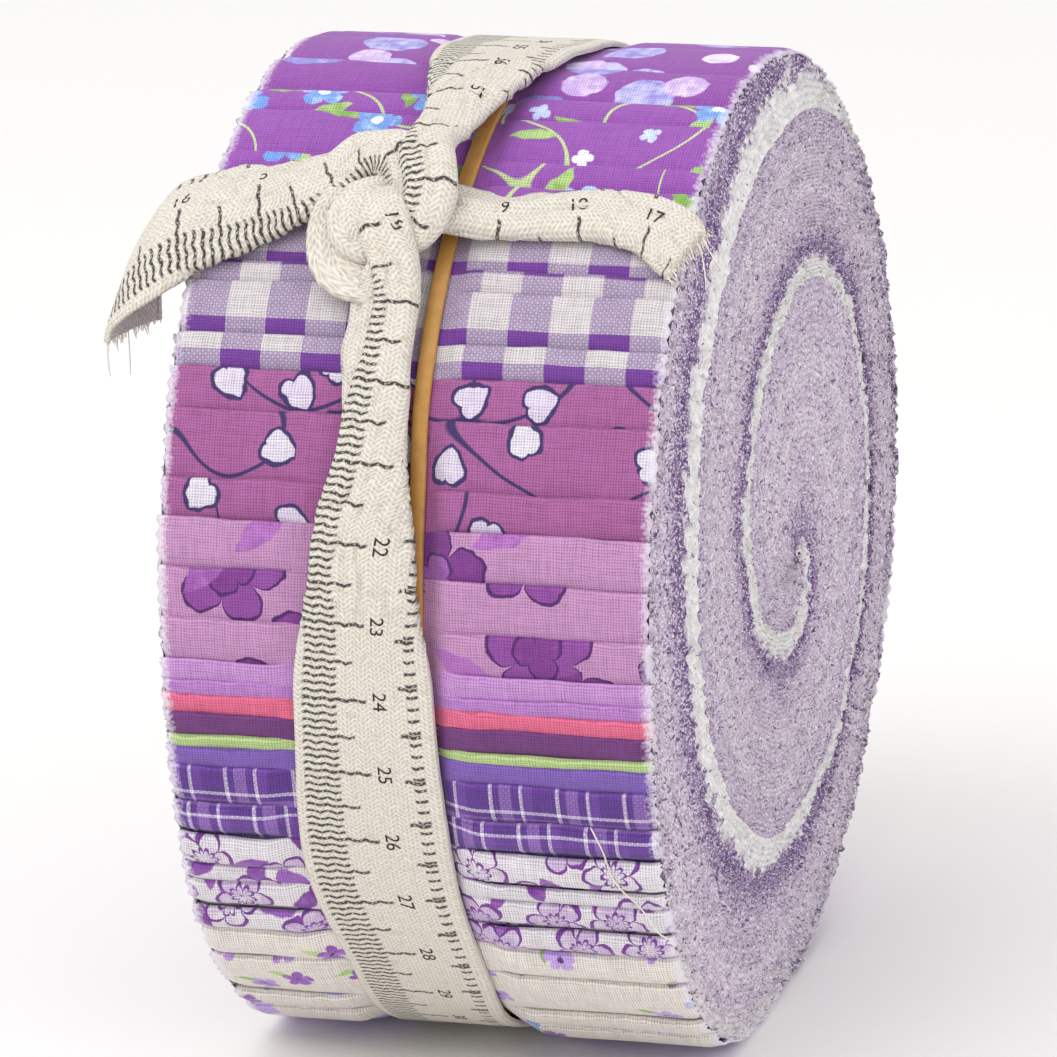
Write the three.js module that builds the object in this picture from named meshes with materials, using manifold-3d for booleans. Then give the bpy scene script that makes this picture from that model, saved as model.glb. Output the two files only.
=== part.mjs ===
// A roll of pinked cotton quilting strips, tied with twill tape over a rubber band.
// Millimetres, +Z up. X runs along the roll's axis, -Y is its front, and the roll stands
// on the small flat spot of its rim at z = 0, with its axis straight above the origin.
// A place on or near the rim is given by x, by the angle "at" round the axis (90 is the
// top, 180 the front, 270 the floor) and by "lift", its height over the rim's mean outline.

import * as THREE from 'three';
import { mergeVertices } from 'three/addons/utils/BufferGeometryUtils.js';
import Module from 'manifold-3d';

// Driving dimensions
const stripWidth = 63.5;
const rimRadius = 64.8;
const axisHeight = 62.4;
const edgeRounding = 0.9;
const tapeThick = 1.1;
const bandWidth = 2.1;
const bandThick = 1;
const bandX = 1.2;
const clearance = 0.3;
const turnGrooveWidth = 0.7;
const turnGrooveDepth = 1.2;

// How the roll is out of round: waves per turn and their size
const outOfRound = [
  { waves: 2, cos: 1.33, sin: -0.10 },
  { waves: 3, cos: 1.58, sin: -0.26 },
  { waves: 4, cos: -0.04, sin: -0.28 },
  { waves: 5, cos: 0.25, sin: 0.17 },
];

// The strips' outer ends round the rim, one row for each cloth: the angle of its first
// end, how many ends show, and how far an end stands over the one before it
const clothRuns = [
  { cloth: 'pale', from: 38, ends: 4, rise: 0.6 },
  { cloth: 'dots', from: 62, ends: 5, rise: 0.6 },
  { cloth: 'blossom', from: 107.6, ends: 4, rise: 0.7 },
  { cloth: 'gingham', from: 130, ends: 4, rise: 0.7 },
  { cloth: 'vine', from: 148, ends: 3, rise: 0.6 },
  { cloth: 'bloom', from: 164.5, ends: 3, rise: 0.6 },
  { cloth: 'plains', from: 180.5, ends: 6, rise: 0.5 },
  { cloth: 'plaid', from: 193.5, ends: 2, rise: 0.8 },
  { cloth: 'outline', from: 202.5, ends: 4, rise: 0.9 },
  { cloth: 'sprig', from: 217, ends: 4, rise: 0.9 },
  { cloth: 'lilac', from: 245, ends: 3, rise: 0.6 },
  { cloth: 'speckle', from: 267, ends: 3, rise: 0.6 },
  { cloth: 'check', from: 297, ends: 3, rise: 0.7 },
  { cloth: 'pale sprig', from: 325, ends: 2, rise: 0.7 },
  { cloth: 'orchid', from: 349, ends: 3, rise: 0.6 },
  { cloth: 'plum', from: 376, ends: 2, rise: 0.6 },
];
const longestFacet = 3.2;

// Where one turn of the bundle meets the next on the end faces: the angle and the distance
// from the winding's heart, which lies off the roll's axis
const heart = { y: 10, z: -6 };
const turnLine = [
  { at: 68, radius: 59.8 },
  { at: 90, radius: 59.4 },
  { at: 116, radius: 58.2 },
  { at: 142, radius: 57.6 },
  { at: 167, radius: 52.2 },
  { at: 194, radius: 45.8 },
  { at: 226, radius: 38.4 },
  { at: 270, radius: 33.8 },
  { at: 292, radius: 34 },
  { at: 330, radius: 37.6 },
  { at: 365, radius: 39.6 },
  { at: 398, radius: 40.2 },
  { at: 429, radius: 38 },
  { at: 465, radius: 33.8 },
  { at: 502, radius: 29.2 },
  { at: 519, radius: 25.8 },
  { at: 537, radius: 20.7 },
  { at: 556, radius: 15.3 },
  { at: 587, radius: 10 },
  { at: 630, radius: 7.6 },
  { at: 700, radius: 5.4 },
];
const turnLineSections = 84;

// The tape from the knot over the top, down the back, along the floor and up the front.
// lift is that of its middle plane; near the knot it is gathered, so narrow and thick.
const wrapRows = [
  { at: 120.5, x: -2.8, lift: 5.9, width: 6.6, thick: 2.4, arch: 0.5 },
  { at: 114, x: -1.7, lift: 4.4, width: 9.6, thick: 1.7, arch: 1.1 },
  { at: 107, x: -1.2, lift: 3, width: 14, thick: 1.3, arch: 1.2 },
  { at: 99, x: -1.6, lift: 1.8, width: 18, thick: 1.1, arch: 0.6 },
  { at: 88, x: -1.4, lift: 0.4, width: 19.5, thick: 1.1, arch: 0 },
  { at: 70, x: -1.2, lift: 0.05, width: 19.5, thick: 1.1, arch: 0 },
  { at: 0, x: -0.4, lift: 0.05, width: 19.5, thick: 1.1, arch: 0 },
  { at: -70, x: -1.6, lift: 0.05, width: 19.5, thick: 1.1, arch: 0 },
  { at: -84, x: -2.4, lift: -0.55, width: 19, thick: 1.1, arch: 0 },
  { at: -107, x: -3.6, lift: -0.55, width: 17.8, thick: 1.1, arch: 0 },
  { at: -122, x: -4.4, lift: 0.05, width: 17.2, thick: 1.1, arch: 0 },
  { at: -137, x: -3.8, lift: 0.05, width: 18.2, thick: 1.1, arch: 0 },
  { at: -156, x: -5.7, lift: 0.05, width: 20, thick: 1.1, arch: 0 },
  { at: -176, x: -5.4, lift: 0.3, width: 18.4, thick: 1.1, arch: 0.3 },
  { at: -192, x: -4.9, lift: 0.9, width: 14, thick: 1.4, arch: 0.8 },
  { at: -206, x: -4, lift: 2, width: 8.4, thick: 2, arch: 0.8 },
  { at: -215, x: -3, lift: 2.9, width: 5.4, thick: 2.6, arch: 0.5 },
  { at: -221, x: -2.3, lift: 3.4, width: 4.6, thick: 3, arch: 0.3 },
  { at: -226, x: -3.6, lift: 5.2, width: 5.6, thick: 3.2, arch: 0.3 },
];
const wrapStep = 6;

// The knot's strands, gathered tape, by the places of their middle
const knotStrands = {
  hump: [
    { x: -17.4, at: 127.6, lift: 2.9, width: 5, thick: 1.4 },
    { x: -14, at: 126.6, lift: 4.2, width: 6.6, thick: 3 },
    { x: -9.8, at: 124.9, lift: 6.4, width: 6.6, thick: 3.6 },
    { x: -6.2, at: 125.1, lift: 6.8, width: 6.6, thick: 3.8 },
    { x: -4.2, at: 126.8, lift: 5.8, width: 6, thick: 3.6 },
    { x: -4.2, at: 129.2, lift: 4, width: 5, thick: 3.2 },
  ],
  front: [
    { x: -2.3, at: 117.4, lift: 5, width: 6, thick: 1.6 },
    { x: -3, at: 120.6, lift: 6.4, width: 7, thick: 2.8 },
    { x: -2.2, at: 124.4, lift: 7.8, width: 7, thick: 3.6 },
    { x: -0.8, at: 128, lift: 8.2, width: 7, thick: 3.8 },
    { x: -0.6, at: 130.6, lift: 7.4, width: 6.6, thick: 3.8 },
    { x: -2, at: 132, lift: 5.8, width: 5.6, thick: 3.4 },
    { x: -4.4, at: 132, lift: 4, width: 5, thick: 3 },
  ],
  loop: [
    { x: -6.4, at: 128.6, lift: 5, width: 5, thick: 3.4 },
    { x: -9, at: 130.2, lift: 6.4, width: 6, thick: 3.8 },
    { x: -10.2, at: 132.4, lift: 6.4, width: 6.4, thick: 4.2 },
    { x: -9.6, at: 134.6, lift: 5.4, width: 6, thick: 4 },
    { x: -7.6, at: 135.4, lift: 4.4, width: 5, thick: 3.6 },
    { x: -5.6, at: 134, lift: 3.6, width: 4.6, thick: 3 },
  ],
  drop: [
    { x: -6.2, at: 129.4, lift: 5.6, width: 5, thick: 3.2 },
    { x: -5.6, at: 132.2, lift: 7.2, width: 6.2, thick: 3.8 },
    { x: -4.5, at: 135, lift: 6.4, width: 5.8, thick: 3.6 },
    { x: -3.1, at: 137.2, lift: 4.8, width: 4.6, thick: 3.2 },
    { x: -2.3, at: 139.4, lift: 3.4, width: 4.4, thick: 3 },
  ],
  core: [
    { x: -13.4, at: 129.2, lift: 3.3, width: 7, thick: 3.6 },
    { x: -8.6, at: 128.6, lift: 3.7, width: 9, thick: 4.2 },
    { x: -3, at: 128.2, lift: 4, width: 9, thick: 4.2 },
    { x: 1.4, at: 129.8, lift: 3.4, width: 6, thick: 3.2 },
  ],
};
const strandSections = 12;

// The two free ends, by both edges of the tape: f is the front edge, b the back edge
const leftEnd = [
  { fx: -13.6, fAt: 129.6, fLift: 2.8, bx: -14.2, bAt: 124.8, bLift: 3.4, arch: 0.8, thick: 2.6 },
  { fx: -19.6, fAt: 132.8, fLift: 1.7, bx: -22, bAt: 123.4, bLift: 1.9, arch: 2.2, thick: 1.5 },
  { fx: -23.8, fAt: 135.1, fLift: 1.5, bx: -27, bAt: 123.6, bLift: 1.7, arch: 3, thick: 1.2 },
  { fx: -29.5, fAt: 137.4, fLift: 1.6, bx: -31, bAt: 124.6, bLift: 1.6, arch: 3.2, thick: 1.1 },
  { fx: -33.3, fAt: 140.2, fLift: 1.8, bx: -35.2, bAt: 125, bLift: 0.4, arch: 3.2, thick: 1.1 },
  { fx: -37.5, fAt: 142.7, fLift: 1.4, bx: -38.2, bAt: 127, bLift: -4.4, arch: 2.6, thick: 1.1 },
  { fx: -40.4, fAt: 144.3, fLift: 0.2, bx: -39.4, bAt: 130.6, bLift: -9.8, arch: 1.6, thick: 1.1 },
  { fx: -41, fAt: 145.5, fLift: -1, bx: -39.6, bAt: 135.8, bLift: -14.8, arch: 0.6, thick: 1.1 },
];
const rightEnd = [
  { fx: 0.6, fAt: 132.4, fLift: 3.6, bx: 0.4, bAt: 128, bLift: 4, arch: 0.4, thick: 3 },
  { fx: 7.6, fAt: 132.2, fLift: 2.1, bx: 7.4, bAt: 127.9, bLift: 2.3, arch: 0.6, thick: 2.6 },
  { fx: 14, fAt: 132, fLift: 2, bx: 12.7, bAt: 126.4, bLift: 2.1, arch: 0.8, thick: 2.4 },
  { fx: 20.9, fAt: 131.6, fLift: 2, bx: 19.4, bAt: 125, bLift: 2, arch: 0.9, thick: 2.4 },
  { fx: 26, fAt: 133, fLift: 1.9, bx: 26.4, bAt: 125.4, bLift: 2, arch: 1, thick: 2.2 },
  { fx: 28.8, fAt: 135.2, fLift: 1.9, bx: 31.8, bAt: 127.2, bLift: 1.9, arch: 0.8, thick: 2 },
  { fx: 30.2, fAt: 136.2, fLift: 1.9, bx: 34.2, bAt: 129.4, bLift: 1.5, arch: 0.4, thick: 1.6 },
];
const endSections = 14;

// The rubber band's height round the rim: it shows in front and lies under the tape elsewhere
const bandRows = [
  { at: 0, lift: -1.4 },
  { at: 89, lift: -1.4 },
  { at: 101, lift: 0.1 },
  { at: 150, lift: 0.1 },
  { at: 161, lift: -1.4 },
  { at: 238, lift: -1.4 },
  { at: 250, lift: -2 },
  { at: 278, lift: -2 },
  { at: 292, lift: -1.4 },
  { at: 360, lift: -1.4 },
];
const bandStep = 6;

const wasm = await Module();
wasm.setup();

const rad = THREE.MathUtils.degToRad;
const lerp = THREE.MathUtils.lerp;

// A table's value at an angle, eased from row to row; rows run up or down in angle
function along(rows, key, column, value) {
  const rising = rows[rows.length - 1][key] > rows[0][key];
  let i = 1;
  while (i < rows.length - 1 && (rising ? rows[i][key] < value : rows[i][key] > value)) i += 1;
  const share = (value - rows[i - 1][key]) / (rows[i][key] - rows[i - 1][key]);
  const eased = (1 - Math.cos(Math.PI * THREE.MathUtils.clamp(share, 0, 1))) / 2;
  return lerp(rows[i - 1][column], rows[i][column], eased);
}

// The rim's mean radius, and the same where the floor flattens it
function meanRadius(at) {
  return outOfRound.reduce((sum, wave) => {
    const phase = wave.waves * rad(at);
    return sum + wave.cos * Math.cos(phase) + wave.sin * Math.sin(phase);
  }, rimRadius);
}
function restingRadius(at) {
  const down = -Math.sin(rad(at));
  return down > 0 ? Math.min(meanRadius(at), axisHeight / down) : meanRadius(at);
}

const outward = (at) => new THREE.Vector3(0, Math.cos(rad(at)), Math.sin(rad(at)));
function place(x, at, lift) {
  return outward(at).multiplyScalar(restingRadius(at) + lift).add(new THREE.Vector3(x, 0, axisHeight));
}

// A closed mesh from points and triangles, its faces turned outwards
function closedMesh(points, triangles) {
  const signed = ([i, j, k]) => points[i].dot(points[j].clone().cross(points[k]));
  const volume = triangles.reduce((sum, triangle) => sum + signed(triangle), 0);
  const facing = volume > 0 ? triangles : triangles.map(([i, j, k]) => [i, k, j]);
  const geometry = new THREE.BufferGeometry();
  const positions = points.flatMap((p) => [p.x, p.y, p.z]);
  geometry.setAttribute('position', new THREE.Float32BufferAttribute(positions, 3));
  geometry.setIndex(facing.flat());
  return geometry;
}

// Joins rings of points, all alike in number, into a tube. An open tube's ends are closed
// by the given triangles of a ring, or else by a fan round the ring's middle.
function skin(rings, closed, caps) {
  const count = rings[0].length;
  const points = rings.flat();
  const triangles = [];
  const spans = closed ? rings.length : rings.length - 1;
  for (let r = 0; r < spans; r += 1) {
    const here = r * count;
    const next = ((r + 1) % rings.length) * count;
    for (let k = 0; k < count; k += 1) {
      const side = (k + 1) % count;
      triangles.push([here + k, here + side, next + side], [here + k, next + side, next + k]);
    }
  }
  const last = (rings.length - 1) * count;
  if (!closed && caps) {
    caps.forEach(([i, j, k]) => triangles.push([i, k, j], [last + i, last + j, last + k]));
  }
  if (!closed && !caps) {
    const middle = (ring) => ring.reduce((sum, p) => sum.add(p), new THREE.Vector3()).divideScalar(count);
    points.push(middle(rings[0]), middle(rings[rings.length - 1]));
    for (let k = 0; k < count; k += 1) {
      const side = (k + 1) % count;
      triangles.push([side, k, points.length - 2], [last + k, last + side, points.length - 1]);
    }
  }
  return closedMesh(points, triangles);
}

// A ribbon through stations { a, b, out, thick, arch, round }: a and b are its edges,
// out its face's direction. It is crowned by arch, and round thins it towards its edges.
const columns = [-1, -0.5, 0, 0.5, 1];
const thinning = 0.65;
function ribbon(stations, closed = false) {
  const rings = stations.map((s) => {
    const face = (side, f) => {
      const height = s.arch * (1 - f * f) + (side * s.thick * (1 - s.round * thinning * f * f)) / 2;
      return s.a.clone().lerp(s.b, (f + 1) / 2).addScaledVector(s.out, height);
    };
    return [...columns.map((f) => face(1, f)), ...[...columns].reverse().map((f) => face(-1, f))];
  });
  const last = 2 * columns.length - 1;
  const caps = columns.slice(1).flatMap((_, i) => [[i, i + 1, last - i], [i + 1, last - i - 1, last - i]]);
  return skin(rings, closed, caps);
}

// The same ribbon, larger all round by a margin
function grown(stations, margin) {
  return stations.map((s) => {
    const across = s.b.clone().sub(s.a).normalize().multiplyScalar(margin);
    return { ...s, a: s.a.clone().sub(across), b: s.b.clone().add(across), thick: s.thick + 2 * margin };
  });
}

function toSolid(geometry) {
  const bare = geometry.clone();
  bare.deleteAttribute('normal');
  bare.deleteAttribute('uv');
  const merged = mergeVertices(bare, 1e-4);
  const vertProperties = new Float32Array(merged.attributes.position.array);
  const triVerts = new Uint32Array(merged.index.array);
  return new wasm.Manifold(new wasm.Mesh({ numProp: 3, vertProperties, triVerts }));
}

function toGeometry(solid) {
  const mesh = solid.getMesh();
  const geometry = new THREE.BufferGeometry();
  geometry.setAttribute('position', new THREE.Float32BufferAttribute(mesh.vertProperties, 3));
  geometry.setIndex([...mesh.triVerts]);
  return geometry;
}

// The solid's largest piece, with no pocket closed up inside it
function whole(solid) {
  return solid.decompose().reduce((best, piece) => (piece.volume() > best.volume() ? piece : best));
}
const joined = (parts) => whole(parts.map((s) => toSolid(ribbon(s))).reduce((sum, solid) => sum.add(solid)));

// The strip ends in order round the rim, a little unevenly spaced
function stripEnds() {
  const all = [];
  clothRuns.forEach((run, r) => {
    const until = r + 1 < clothRuns.length ? clothRuns[r + 1].from : clothRuns[0].from + 360;
    const pitch = (until - run.from) / run.ends;
    for (let i = 0; i < run.ends; i += 1) {
      const shift = i > 0 ? 0.22 * Math.sin(2.4 * all.length) : 0;
      const rise = run.rise * (1 + 0.25 * Math.sin(1.7 * all.length));
      all.push({ at: run.from + pitch * (i + shift), rise });
    }
  });
  return all;
}

// The rim's outline: each strip starts with a rounded lip over the one before it
function rimOutline() {
  const ends = stripEnds();
  const outline = [];
  ends.forEach((end, i) => {
    const next = ends[i + 1] ?? { at: ends[0].at + 360, rise: ends[0].rise };
    const start = end.at + 0.5;
    outline.push([end.at - 0.12, -end.rise / 2], [end.at + 0.05, 0.3 * end.rise], [start, end.rise / 2]);
    const facets = Math.max(1, Math.ceil((next.at - start) / longestFacet));
    for (let k = 1; k < facets; k += 1) {
      const share = k / facets;
      outline.push([lerp(start, next.at, share), lerp(end.rise / 2, -next.rise / 2, share)]);
    }
  });
  return outline.map(([at, lift]) => ({ at, radius: meanRadius(at) + lift }));
}

// The whole bundle, softly rounded where its rim meets its end faces
function bundle() {
  const half = stripWidth / 2;
  const widths = [
    { x: -half, inset: edgeRounding },
    { x: -half + 0.35 * edgeRounding, inset: 0.3 * edgeRounding },
    { x: -half + 1.4 * edgeRounding, inset: 0 },
  ];
  const stations = [...widths, ...[...widths].reverse().map((w) => ({ ...w, x: -w.x }))];
  const outline = rimOutline();
  const rings = stations.map(({ x, inset }) => outline.map(({ at, radius }) => {
    const point = outward(at).multiplyScalar(radius - inset);
    point.z = Math.max(point.z, inset - axisHeight);
    return point.add(new THREE.Vector3(x, 0, axisHeight));
  }));
  return skin(rings, false);
}

// The groove on an end face between one turn of the bundle and the next
function turnGroove(x) {
  const middle = new THREE.Vector3(x, heart.y, axisHeight + heart.z);
  const rows = turnLine.map(({ at, radius }) => outward(at).multiplyScalar(radius).add(middle));
  const curve = new THREE.CatmullRomCurve3(rows);
  const out = new THREE.Vector3(1, 0, 0);
  const stations = Array.from({ length: turnLineSections + 1 }, (_, i) => {
    const point = curve.getPointAt(i / turnLineSections);
    const across = curve.getTangentAt(i / turnLineSections).cross(out).setLength(turnGrooveWidth / 2);
    const [a, b] = [point.clone().sub(across), point.clone().add(across)];
    return { a, b, out, thick: 2 * turnGrooveDepth, arch: 0, round: 0 };
  });
  return ribbon(stations);
}

// The tape's way round the roll
function wrapStations() {
  const first = wrapRows[0].at;
  const last = wrapRows[wrapRows.length - 1].at;
  const steps = Math.round((first - last) / wrapStep);
  return Array.from({ length: steps + 1 }, (_, i) => {
    const at = lerp(first, last, i / steps);
    const row = (column) => along(wrapRows, 'at', column, at);
    const half = row('width') / 2;
    const gathered = THREE.MathUtils.clamp((row('thick') - tapeThick) / 1.5, 0, 1);
    return {
      a: place(row('x') - half, at, row('lift')),
      b: place(row('x') + half, at, row('lift')),
      out: outward(at),
      thick: row('thick'),
      arch: row('arch'),
      round: gathered,
    };
  });
}

// A gathered strand of the knot, its width lying square to its way and to the rim's face
function strandStations(rows) {
  const curve = new THREE.CatmullRomCurve3(rows.map((row) => place(row.x, row.at, row.lift)));
  const across = new THREE.Vector3();
  return Array.from({ length: strandSections }, (_, i) => {
    const share = i / (strandSections - 1);
    const index = share * (rows.length - 1);
    const [low, high] = [rows[Math.floor(index)], rows[Math.ceil(index)]];
    const value = (column) => lerp(low[column], high[column], index % 1);
    const middle = curve.getPoint(share);
    const tangent = curve.getTangent(share);
    const side = tangent.clone().cross(outward(value('at')));
    if (side.length() > 0.3) across.copy(side.normalize());
    const half = across.clone().multiplyScalar(value('width') / 2);
    const out = across.clone().cross(tangent).normalize();
    const [a, b] = [middle.clone().sub(half), middle.clone().add(half)];
    return { a, b, out, thick: value('thick'), arch: 0.5, round: 1 };
  });
}

// A free end of the tape between its two edges
function endStations(rows) {
  const front = new THREE.CatmullRomCurve3(rows.map((row) => place(row.fx, row.fAt, row.fLift)));
  const back = new THREE.CatmullRomCurve3(rows.map((row) => place(row.bx, row.bAt, row.bLift)));
  return Array.from({ length: endSections }, (_, i) => {
    const share = i / (endSections - 1);
    const index = share * (rows.length - 1);
    const [low, high] = [rows[Math.floor(index)], rows[Math.ceil(index)]];
    const value = (column) => lerp(low[column], high[column], index % 1);
    const [a, b] = [front.getPoint(share), back.getPoint(share)];
    const tangent = front.getTangent(share).add(back.getTangent(share)).normalize();
    const out = b.clone().sub(a).cross(tangent).normalize();
    const facing = out.dot(outward(value('fAt'))) + (share > 0.6 ? Math.sign(rows[0].bx) * out.x : 0);
    if (facing < 0) out.negate();
    return { a, b, out, thick: value('thick'), arch: value('arch'), round: 0.5 };
  });
}

// The rubber band's ring
function bandStations() {
  return Array.from({ length: 360 / bandStep }, (_, i) => {
    const at = i * bandStep;
    const lift = along(bandRows, 'at', 'lift', at);
    const edge = (side) => place(bandX + (side * bandWidth) / 2, at, lift);
    return { a: edge(-1), b: edge(1), out: outward(at), thick: bandThick, arch: 0, round: 0 };
  });
}

const tapeParts = [
  wrapStations(),
  ...Object.values(knotStrands).map(strandStations),
  endStations(leftEnd),
  endStations(rightEnd),
];
const tape = joined(tapeParts);
const tapeRoom = joined(tapeParts.map((stations) => grown(stations, clearance)));
const bandRoom = toSolid(ribbon(grown(bandStations(), clearance), true));
const half = stripWidth / 2;
const roll = whole(toSolid(bundle())
  .subtract(toSolid(turnGroove(-half)))
  .subtract(toSolid(turnGroove(half)))
  .subtract(tapeRoom)
  .subtract(bandRoom));

function node(name, geometry, color, roughness) {
  const mesh = new THREE.Mesh(geometry, new THREE.MeshStandardMaterial({ color, roughness, metalness: 0 }));
  mesh.name = name;
  return mesh;
}

const object = new THREE.Group();
object.add(
  node('fabric_roll', toGeometry(roll), 0x9a5bb5, 0.9),
  node('tape_tie', toGeometry(tape), 0xe6e0d2, 0.9),
  node('rubber_band', ribbon(bandStations(), true), 0xb9853f, 0.6),
);

export default object;
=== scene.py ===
# Roll of pinked quilting cotton strips, tied with printed twill tape over a rubber band.
# Sizes are in millimetres, and each mesh is scaled to metres as its points are placed.
import math
from functools import partial

import bmesh
import bpy
import numpy as np
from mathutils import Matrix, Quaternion, Vector, noise


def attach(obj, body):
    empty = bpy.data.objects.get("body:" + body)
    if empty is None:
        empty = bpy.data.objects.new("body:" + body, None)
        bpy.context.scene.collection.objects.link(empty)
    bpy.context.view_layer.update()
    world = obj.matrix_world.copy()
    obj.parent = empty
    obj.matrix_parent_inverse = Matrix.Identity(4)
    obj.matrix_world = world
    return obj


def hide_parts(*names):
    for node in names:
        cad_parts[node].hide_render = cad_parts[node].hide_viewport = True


print("loading the solids")
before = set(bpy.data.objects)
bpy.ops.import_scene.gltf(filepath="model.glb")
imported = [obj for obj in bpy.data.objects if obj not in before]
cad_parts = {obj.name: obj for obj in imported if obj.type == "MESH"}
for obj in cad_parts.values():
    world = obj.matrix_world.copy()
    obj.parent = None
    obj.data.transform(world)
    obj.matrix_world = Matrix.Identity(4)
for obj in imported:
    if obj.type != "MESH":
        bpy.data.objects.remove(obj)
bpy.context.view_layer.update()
scene = bpy.context.scene
mm = 0.001
rng = np.random.default_rng(11)

# The roll's own shape, as in the solids
rollShape = {
    "width": 63.5,
    "rimRadius": 64.8,
    "axisHeight": 62.4,
    "clothFloor": 0.5,  # how far the cloth's mean surface stays over the floor
    "waves": [(2, 1.33, -0.10), (3, 1.58, -0.26), (4, -0.04, -0.28), (5, 0.25, 0.17)],
}
halfWidth = rollShape["width"] / 2


# The rim's radius at an angle in degrees: 0 is at the back, 90 on top and 180 in front
def meanRadius(at):
    angle = math.radians(at)
    return rollShape["rimRadius"] + sum(
        c * math.cos(k * angle) + s * math.sin(k * angle) for k, c, s in rollShape["waves"]
    )


# The same, where the roll's weight has flattened it on the floor
def restingRadius(at, floor=0.0):
    down = -math.sin(math.radians(at))
    if down <= 0:
        return meanRadius(at)
    return min(meanRadius(at), (rollShape["axisHeight"] - floor) / down)


def outward(at):
    return Vector((0, math.cos(math.radians(at)), math.sin(math.radians(at))))


# A point over the rim, by its place across the roll, its angle and its height over the mean rim
def place(x, at, lift, floor=0.0):
    point = outward(at) * (restingRadius(at, floor) + lift)
    return point + Vector((x, 0, rollShape["axisHeight"]))


# A table's column at any angle, eased from one row to the next
def eased(rows, column, value):
    keys = [row["at"] for row in rows]
    values = [row[column] for row in rows]
    if keys[0] > keys[-1]:
        keys, values = keys[::-1], values[::-1]
    i = int(np.clip(np.searchsorted(keys, value), 1, len(keys) - 1))
    share = min(max((value - keys[i - 1]) / (keys[i] - keys[i - 1]), 0), 1)
    share = (1 - math.cos(math.pi * share)) / 2
    return values[i - 1] + (values[i] - values[i - 1]) * share


def smoothStep(low, high, value):
    share = min(max((value - low) / (high - low), 0), 1)
    return share * share * (3 - 2 * share)


# A grid bent to shape: shape(column, row) gives a point, its place on the cloth and any tint
def bendGrid(bm, columns, rows, shape, tint=None):
    uvLayer = bm.loops.layers.uv.get("UVMap") or bm.loops.layers.uv.new("UVMap")
    made = bmesh.ops.create_grid(bm, x_segments=columns, y_segments=rows, size=0.5)["verts"]
    onCloth = {}
    for vert in made:
        column, row = round((vert.co.x + 0.5) * columns), round((vert.co.y + 0.5) * rows)
        point, *onCloth[vert] = shape(column, row)
        vert.co = point * mm
        if tint:
            vert[tint] = onCloth[vert][2]
    for face in {face for vert in made for face in vert.link_faces}:
        for loop in face.loops:
            loop[uvLayer].uv = onCloth[loop.vert][:2]
    return made


# A bmesh made an object; a closed one has its faces turned outwards first
def finishPiece(bm, name, material, smooth=True, closed=False):
    if closed:
        bmesh.ops.recalc_face_normals(bm, faces=bm.faces[:])
    mesh = bpy.data.meshes.new(name)
    bm.to_mesh(mesh)
    bm.free()
    piece = bpy.data.objects.new(name, mesh)
    scene.collection.objects.link(piece)
    for face in mesh.polygons:
        face.use_smooth = smooth
    mesh.materials.append(material)
    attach(piece, "root")
    return piece


def thicken(piece, thickness, offset=-1):
    solidify = piece.modifiers.new("ply", "SOLIDIFY")
    solidify.thickness = thickness * mm
    solidify.offset = offset
    return solidify


# A hex colour in sRGB, made linear
def hexColor(text):
    channels = [int(text[i : i + 2], 16) / 255 for i in (1, 3, 5)]
    return tuple(c / 12.92 if c <= 0.04045 else ((c + 0.055) / 1.055) ** 2.4 for c in channels) + (1,)


# Sets a node's inputs, each to a value, a hex colour, or a link from a socket or a node's main output
def feed(node, inputs):
    for key, value in inputs.items() if isinstance(inputs, dict) else enumerate(inputs):
        if isinstance(value, bpy.types.Node):
            value = next(output for output in value.outputs if output.enabled)
        if isinstance(value, bpy.types.NodeSocket):
            node.id_data.links.new(value, node.inputs[key])
        else:
            node.inputs[key].default_value = hexColor(value) if isinstance(value, str) else value


def addNode(tree, kind, inputs=(), operation=None, **settings):
    made = tree.nodes.new("ShaderNode" + kind)
    if operation:
        made.operation = operation
    for key, value in settings.items():
        setattr(made, key, value)
    feed(made, inputs)
    return made


# A new material, its shader, and addNode for its own node tree
def startMaterial(name, roughness, sheen=0.0):
    material = bpy.data.materials.new(name)
    material.use_nodes = True
    shader = material.node_tree.nodes["Principled BSDF"]
    feed(shader, {"Roughness": roughness, "Sheen Weight": sheen, "Sheen Roughness": 0.5})
    return material, shader, partial(addNode, material.node_tree)


# Ink, loose cotton yarn or uncoated paper: matt, with a faint mottle of two tones
def mottledMaterial(name, dark, light, scale, roughness=0.9):
    material, shader, add = startMaterial(name, roughness)
    where = add("TexCoord")
    mottle = add("TexNoise", {"Vector": where.outputs["Object"], "Scale": scale, "Detail": 3})
    color = add("Mix", {"Factor": mottle, "A": dark, "B": light}, data_type="RGBA")
    feed(shader, {"Base Color": color})
    return material


# Rows of a table by the names of their columns; the last ones that a row leaves out are 0
def namedRows(columns, *rows):
    names = columns.split()
    return [dict(zip(names, [*row] + [0] * len(names))) for row in rows]


# The strips' outer ends round the rim
clothRuns = namedRows("cloth from ends rise",
    ("pale", 38, 4, 0.6), ("dots", 62, 5, 0.6), ("blossom", 107.6, 4, 0.7), ("gingham", 130, 4, 0.7),
    ("vine", 148, 3, 0.6), ("bloom", 164.5, 3, 0.6), ("plains", 180.5, 6, 0.5), ("plaid", 193.5, 2, 0.8),
    ("outline", 202.5, 4, 0.9), ("sprig", 217, 4, 0.9), ("lilac", 245, 3, 0.6), ("speckle", 267, 3, 0.6),
    ("check", 297, 3, 0.7), ("paleSprig", 325, 2, 0.7), ("orchid", 349, 3, 0.6), ("plum", 376, 2, 0.6))


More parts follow.
